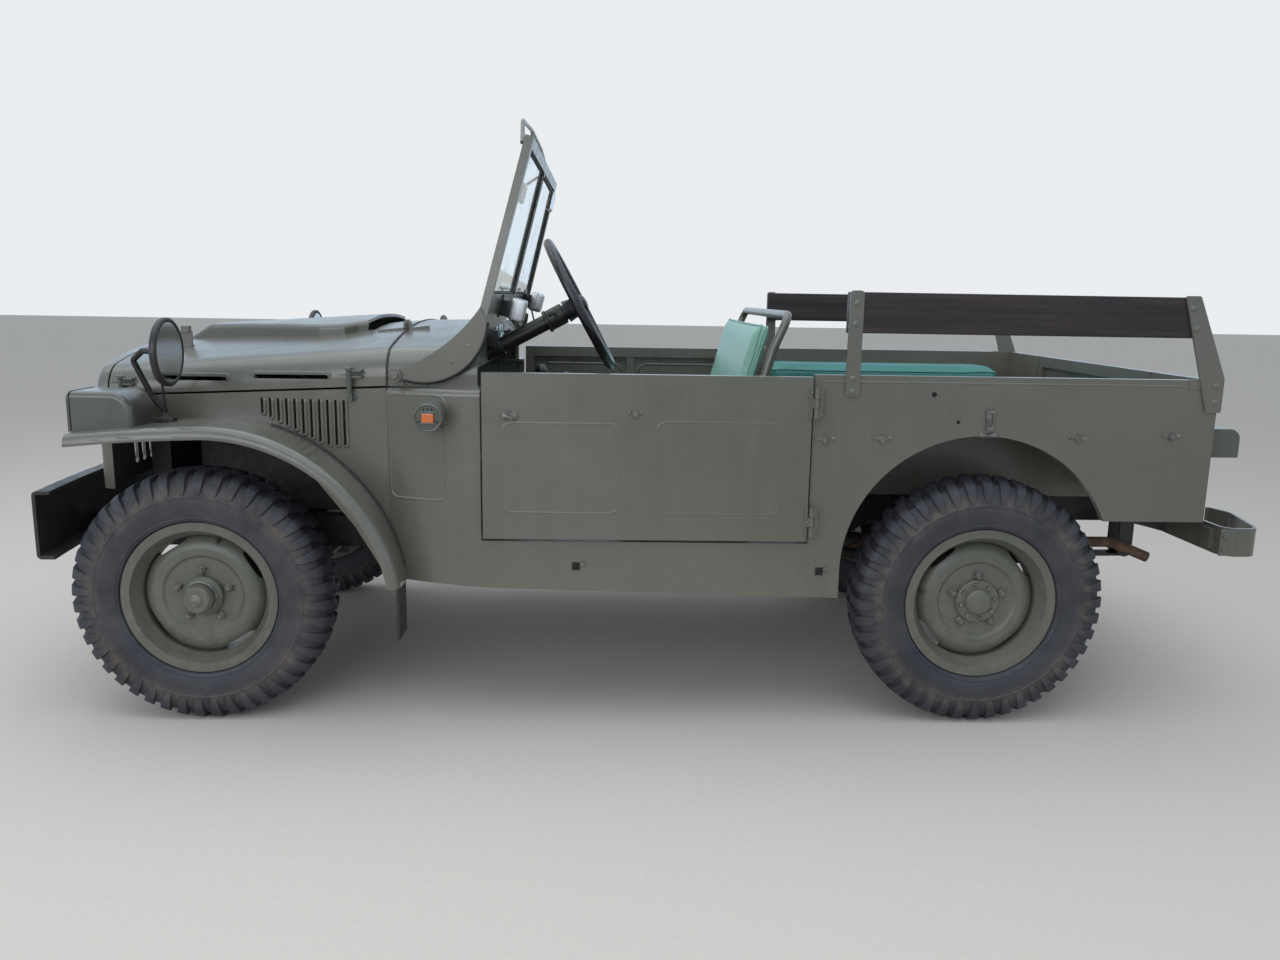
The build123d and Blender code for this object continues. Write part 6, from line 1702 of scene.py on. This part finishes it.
def gate_fittings():
    """Pressed field and latches of the tailgate."""
    form = bmesh.new()
    line = rounded(box_corners(*GATE_FIELD), 0.04)
    swept(form, [(GATE_FACE + 0.0035, p.x, p.y) for p in line], 0.006, 8, closed=True)
    for side in (1, -1):
        y = side * GATE_LATCH
        slab(form, (GATE_FACE - 0.010, y - 0.016, 0.935), (GATE_FACE + 0.001, y + 0.016, 0.985), 0.002)
        lever = [(GATE_FACE - 0.014, side * 0.345, 0.972), (GATE_FACE - 0.016, y, 0.962),
                 (GATE_FACE - 0.014, side * 0.43, 0.962)]
        swept(form, lever, 0.005, 8)
    return form


def corner_caps():
    """Caps over the rear upper corners, and lapped plates with bolts on the rear bumpers."""
    form = bmesh.new()
    slab(form, (-1.5335, 0.7295, 1.004), (-1.445, 0.7322, 1.0315), 0.0008)
    slab(form, (-1.5345, 0.690, 1.004), (-1.5315, 0.7322, 1.0315), 0.0008)
    for x in (-1.462, -1.50):
        screw(form, x, 1.018, 0.732)
    slab(form, (-1.690, 0.6465, 0.506), (-1.640, 0.6505, 0.585), 0.0012)
    for z in (0.526, 0.566):
        screw(form, -1.654, z, 0.6505, BOLT)
    both_sides(form)
    return form


finish_piece("door_left_inner", inner_door(), "door_left", body_paint, crease=40)
finish_piece("door_right_inner", flipped(inner_door()), "door_right", body_paint, crease=40)
finish_piece("floor_ribs", floor_ribs(), "chassis", body_paint, crease=40)
finish_piece("floor_mats", floor_mats(), "chassis", black_rubber, crease=30)
finish_piece("gate_fittings", gate_fittings(), "tailgate", body_paint, crease=40)
finish_piece("corner_caps", corner_caps(), "chassis", body_paint, crease=30)

# %% [markdown]
# The rest is seen from below or with the bonnet open: clamps of the springs, radiator fins behind the
# slots, and what stands on the engine. A photo of the side proves none of it, so it is kept to what every
# such engine has: cover, air cleaner, top hose, plug leads and a battery.

# %% Underbody and engine bay
AXLE_X = -0.920
SPRING_Y = 0.440
SPRING_TOP = 0.460
CLAMP_FOOT = 0.322
CLAMP_REACH = 0.044
CLAMP_HALF = 0.031
SPRING_PLATE = (0.316, 0.327)
CLAMP_NUT = ((0, 0), (0.0095, 0), (0.0095, 0.009), (0, 0.009))
FIN_COUNT = 57
FIN_STEP = 0.0095
FIRST_FIN = -0.266
COVER_TOP = 0.934
CYLINDERS = (1.08, 1.19, 1.30, 1.41)
MANIFOLD_X = 1.24
RADIATOR_CAP = ((0, 0), (0.026, 0), (0.026, 0.016), (0.021, 0.021), (0, 0.021))
COVER_NUT = ((0, 0), (0.011, 0), (0.011, 0.006), (0.006, 0.009), (0, 0.01))
OIL_CAP = ((0, 0), (0.021, 0), (0.024, 0.012), (0.024, 0.022), (0, 0.024))
AIR_CLEANER = ((0, 0), (0.05, 0), (0.082, 0.012), (0.082, 0.078), (0.074, 0.09), (0.02, 0.096), (0, 0.097))
IGNITION_CAP = ((0, 0), (0.034, 0), (0.034, 0.03), (0.024, 0.05), (0, 0.052))
BATTERY_POST = ((0, 0), (0.009, 0), (0.0075, 0.016), (0, 0.016))


def spring_clamps():
    """Clamps that hold the rear axle to its springs, with their plates and nuts."""
    form = bmesh.new()
    low_y, high_y = SPRING_Y - CLAMP_HALF, SPRING_Y + CLAMP_HALF
    plate, plate_top = SPRING_PLATE
    loop = rounded(box_corners(low_y, high_y, CLAMP_FOOT, SPRING_TOP + 0.012), 0.008, 3)
    for x in (AXLE_X - CLAMP_REACH, AXLE_X + CLAMP_REACH):
        swept(form, [(x, p.x, p.y) for p in loop], 0.0052, 8, closed=True)
    rear, front = AXLE_X - 0.07, AXLE_X + 0.07
    slab(form, (rear, SPRING_Y - 0.027, SPRING_TOP), (front, SPRING_Y + 0.027, SPRING_TOP + 0.008), 0.001)
    slab(form, (rear, SPRING_Y - 0.038, plate), (front, SPRING_Y + 0.038, plate_top), 0.001)
    for x in (AXLE_X - CLAMP_REACH, AXLE_X + CLAMP_REACH):
        for y in (low_y, high_y):
            turned(form, (x, y, plate), (0, 0, -1), CLAMP_NUT, 6)
    both_sides(form)
    return form


def radiator_fins():
    """Fins of the radiator core, seen through the slots of the nose, and the filler cap."""
    form = bmesh.new()
    for number in range(FIN_COUNT):
        y = FIRST_FIN + number * FIN_STEP
        slab(form, (1.6195, y - 0.0012, 0.60), (1.6265, y + 0.0012, 0.91), 0)
    slab(form, (1.585, -0.045, 0.958), (1.605, 0.045, 0.963), 0.002)
    turned(form, (1.592, 0, 0.959), (0, 0, 1), RADIATOR_CAP, 20)
    return form


def engine_parts():
    """Cover with nuts and oil cap, manifold and carburettor on the engine."""
    form = bmesh.new()
    slab(form, (1.020, -0.072, 0.897), (1.460, 0.072, 0.936), 0.012)
    for x in (1.07, 1.24, 1.41):
        turned(form, (x, 0, COVER_TOP), (0, 0, 1), COVER_NUT, 6)
    turned(form, (1.33, 0.0, COVER_TOP), (0, 0, 1), OIL_CAP, 20)
    for x in CYLINDERS:
        port = (MANIFOLD_X + (x - MANIFOLD_X) * 0.7, 0.205, 0.76)
        swept(form, [(x, 0.145, 0.80), (x, 0.185, 0.80), port], 0.018, 12)
    swept(form, [(1.08, 0.205, 0.755), (1.41, 0.205, 0.755)], 0.022, 12)
    slab(form, (1.195, 0.165, 0.815), (1.265, 0.245, 0.885), 0.008)
    return form


def engine_rubber():
    """Air cleaner, top hose, plug leads with their cap, and the battery."""
    form = bmesh.new()
    turned(form, (1.23, 0.235, 0.885), (0, 0, 1), AIR_CLEANER, 36)
    swept(form, [(1.575, 0.0, 0.905), (1.53, 0.0, 0.925), (1.50, 0.0, 0.915), (1.48, 0.0, 0.89)], 0.021, 14)
    for number, x in enumerate(CYLINDERS):
        swept(form, [(x, -0.148, 0.84), (x, -0.175, 0.87), (x - 0.03, -0.17, 0.895),
                     (1.10, -0.155 - 0.008 * number, 0.905), (1.02, -0.13, 0.90)], 0.0038, 6)
    turned(form, (1.00, -0.125, 0.86), (0, 0, 1), IGNITION_CAP, 20)
    slab(form, (0.83, -0.46, 0.80), (0.99, -0.28, 0.965), 0.006)
    for y in (-0.42, -0.32):
        turned(form, (0.87, y, 0.964), (0, 0, 1), BATTERY_POST, 12)
    cable = [(0.87, -0.32, 0.978), (0.88, -0.28, 0.985), (0.86, -0.22, 0.95), (0.80, -0.2, 0.90)]
    swept(form, cable, 0.0055, 8)
    return form


def battery_tray():
    """Tray of the battery, held by the bulkhead."""
    form = bmesh.new()
    slab(form, (0.790, -0.475, 0.790), (1.005, -0.265, 0.800), 0.001)
    slab(form, (0.790, -0.475, 0.70), (0.798, -0.265, 0.80), 0.001)
    for y in (-0.475, -0.271):
        side_sheet(form, [(0.79, 0.70), (1.0, 0.795), (0.79, 0.795)], y, y + 0.006)
    return form


finish_piece("spring_clamps", spring_clamps(), "chassis", chassis_black, crease=35)
finish_piece("radiator_fins", radiator_fins(), "chassis", chassis_black, crease=30)
finish_piece("engine_parts", engine_parts(), "chassis", grey_casting, crease=35)
finish_piece("engine_rubber", engine_rubber(), "chassis", black_rubber, crease=35)
finish_piece("battery_tray", battery_tray(), "chassis", chassis_black, crease=30)

# %% [markdown]
# The car stands in a plain pale studio. Strong lamps would bleach the paint, so the sky is even and weak,
# one broad soft lamp hangs overhead like an overcast sky, and one weaker lamp lifts the side that the
# camera sees. The sky is bright only to the camera, through glass and in reflections, and in these it is a
# little blue like the real one, so the gloss of the paint shows without more light on it.

# %% Floor, sky and lamps
FLOOR_HALF = 40.0
FLOOR_COLOUR = (0.62, 0.61, 0.59)
SKY_COLOUR = (0.83, 0.85, 0.87)
SKY_AS_LAMP = 0.6
SKY_IN_GLOSS = (0.68, 0.83, 1.0)
# Lamps: name, place, aim, width and depth, power
LAMPS = (("overhead", (0.5, 0.5, 4.5), (0, 0, 0.5), (7, 5), 125),
         ("side_fill", (3.2, 5.6, 2.5), (0.7, 0, 0.6), (6, 2.5), 105))


def make_floor():
    """A pale floor with a faint grain."""
    mesh = bpy.data.meshes.new("floor")
    h = FLOOR_HALF
    mesh.from_pydata([(-h, -h, 0), (h, -h, 0), (h, h, 0), (-h, h, 0)], [], [(0, 1, 2, 3)])
    floor = bpy.data.objects.new("floor", mesh)
    bpy.context.scene.collection.objects.link(floor)
    material, tree, shader = new_material("floor_finish")
    pale = tuple(v * 1.12 for v in FLOOR_COLOUR)
    tree.links.new(blend_colour(tree, noise(tree, 60, 6), FLOOR_COLOUR, pale), shader.inputs["Base Color"])
    shader.inputs["Roughness"].default_value = 0.9
    shader.inputs["Specular IOR Level"].default_value = 0.2
    cover(floor, material)


def make_sky():
    """An even sky: full strength where it is seen, weaker as a lamp."""
    world = bpy.data.worlds.new("sky")
    bpy.context.scene.world = world
    world.use_nodes = True
    tree = world.node_tree
    tree.nodes.clear()
    path = node(tree, "LightPath")
    seen = node(tree, "Math", {0: path.outputs["Is Camera Ray"], 1: path.outputs["Is Glossy Ray"]},
                operation="MAXIMUM").outputs[0]
    seen = node(tree, "Math", {0: seen, 1: path.outputs["Is Transmission Ray"]},
                operation="MAXIMUM").outputs[0]
    mirrored = node(tree, "Math", {0: path.outputs["Is Glossy Ray"], 1: path.outputs["Is Transmission Ray"]},
                    operation="SUBTRACT", use_clamp=True).outputs[0]
    colour = blend_colour(tree, mirrored, SKY_COLOUR, SKY_IN_GLOSS)
    sky = node(tree, "Background", {"Strength": ramp(tree, seen, 0, 1, SKY_AS_LAMP, 1.0), "Color": colour})
    node(tree, "OutputWorld", {"Surface": sky.outputs[0]})


def make_lamp(name, place, aim, size, power):
    """A broad soft lamp that isn't seen itself."""
    data = bpy.data.lights.new(name, "AREA")
    data.shape = "RECTANGLE"
    data.size, data.size_y = size
    data.energy = power
    lamp = bpy.data.objects.new(name, data)
    lamp.location = place
    lamp.rotation_euler = (Vector(aim) - Vector(place)).to_track_quat("-Z", "Y").to_euler()
    lamp.visible_camera = False
    bpy.context.scene.collection.objects.link(lamp)


bpy.context.scene.view_settings.view_transform = "Standard"
make_floor()
make_sky()
for lamp in LAMPS:
    make_lamp(*lamp)
print("studio lit by", len(LAMPS), "lamps and the sky")
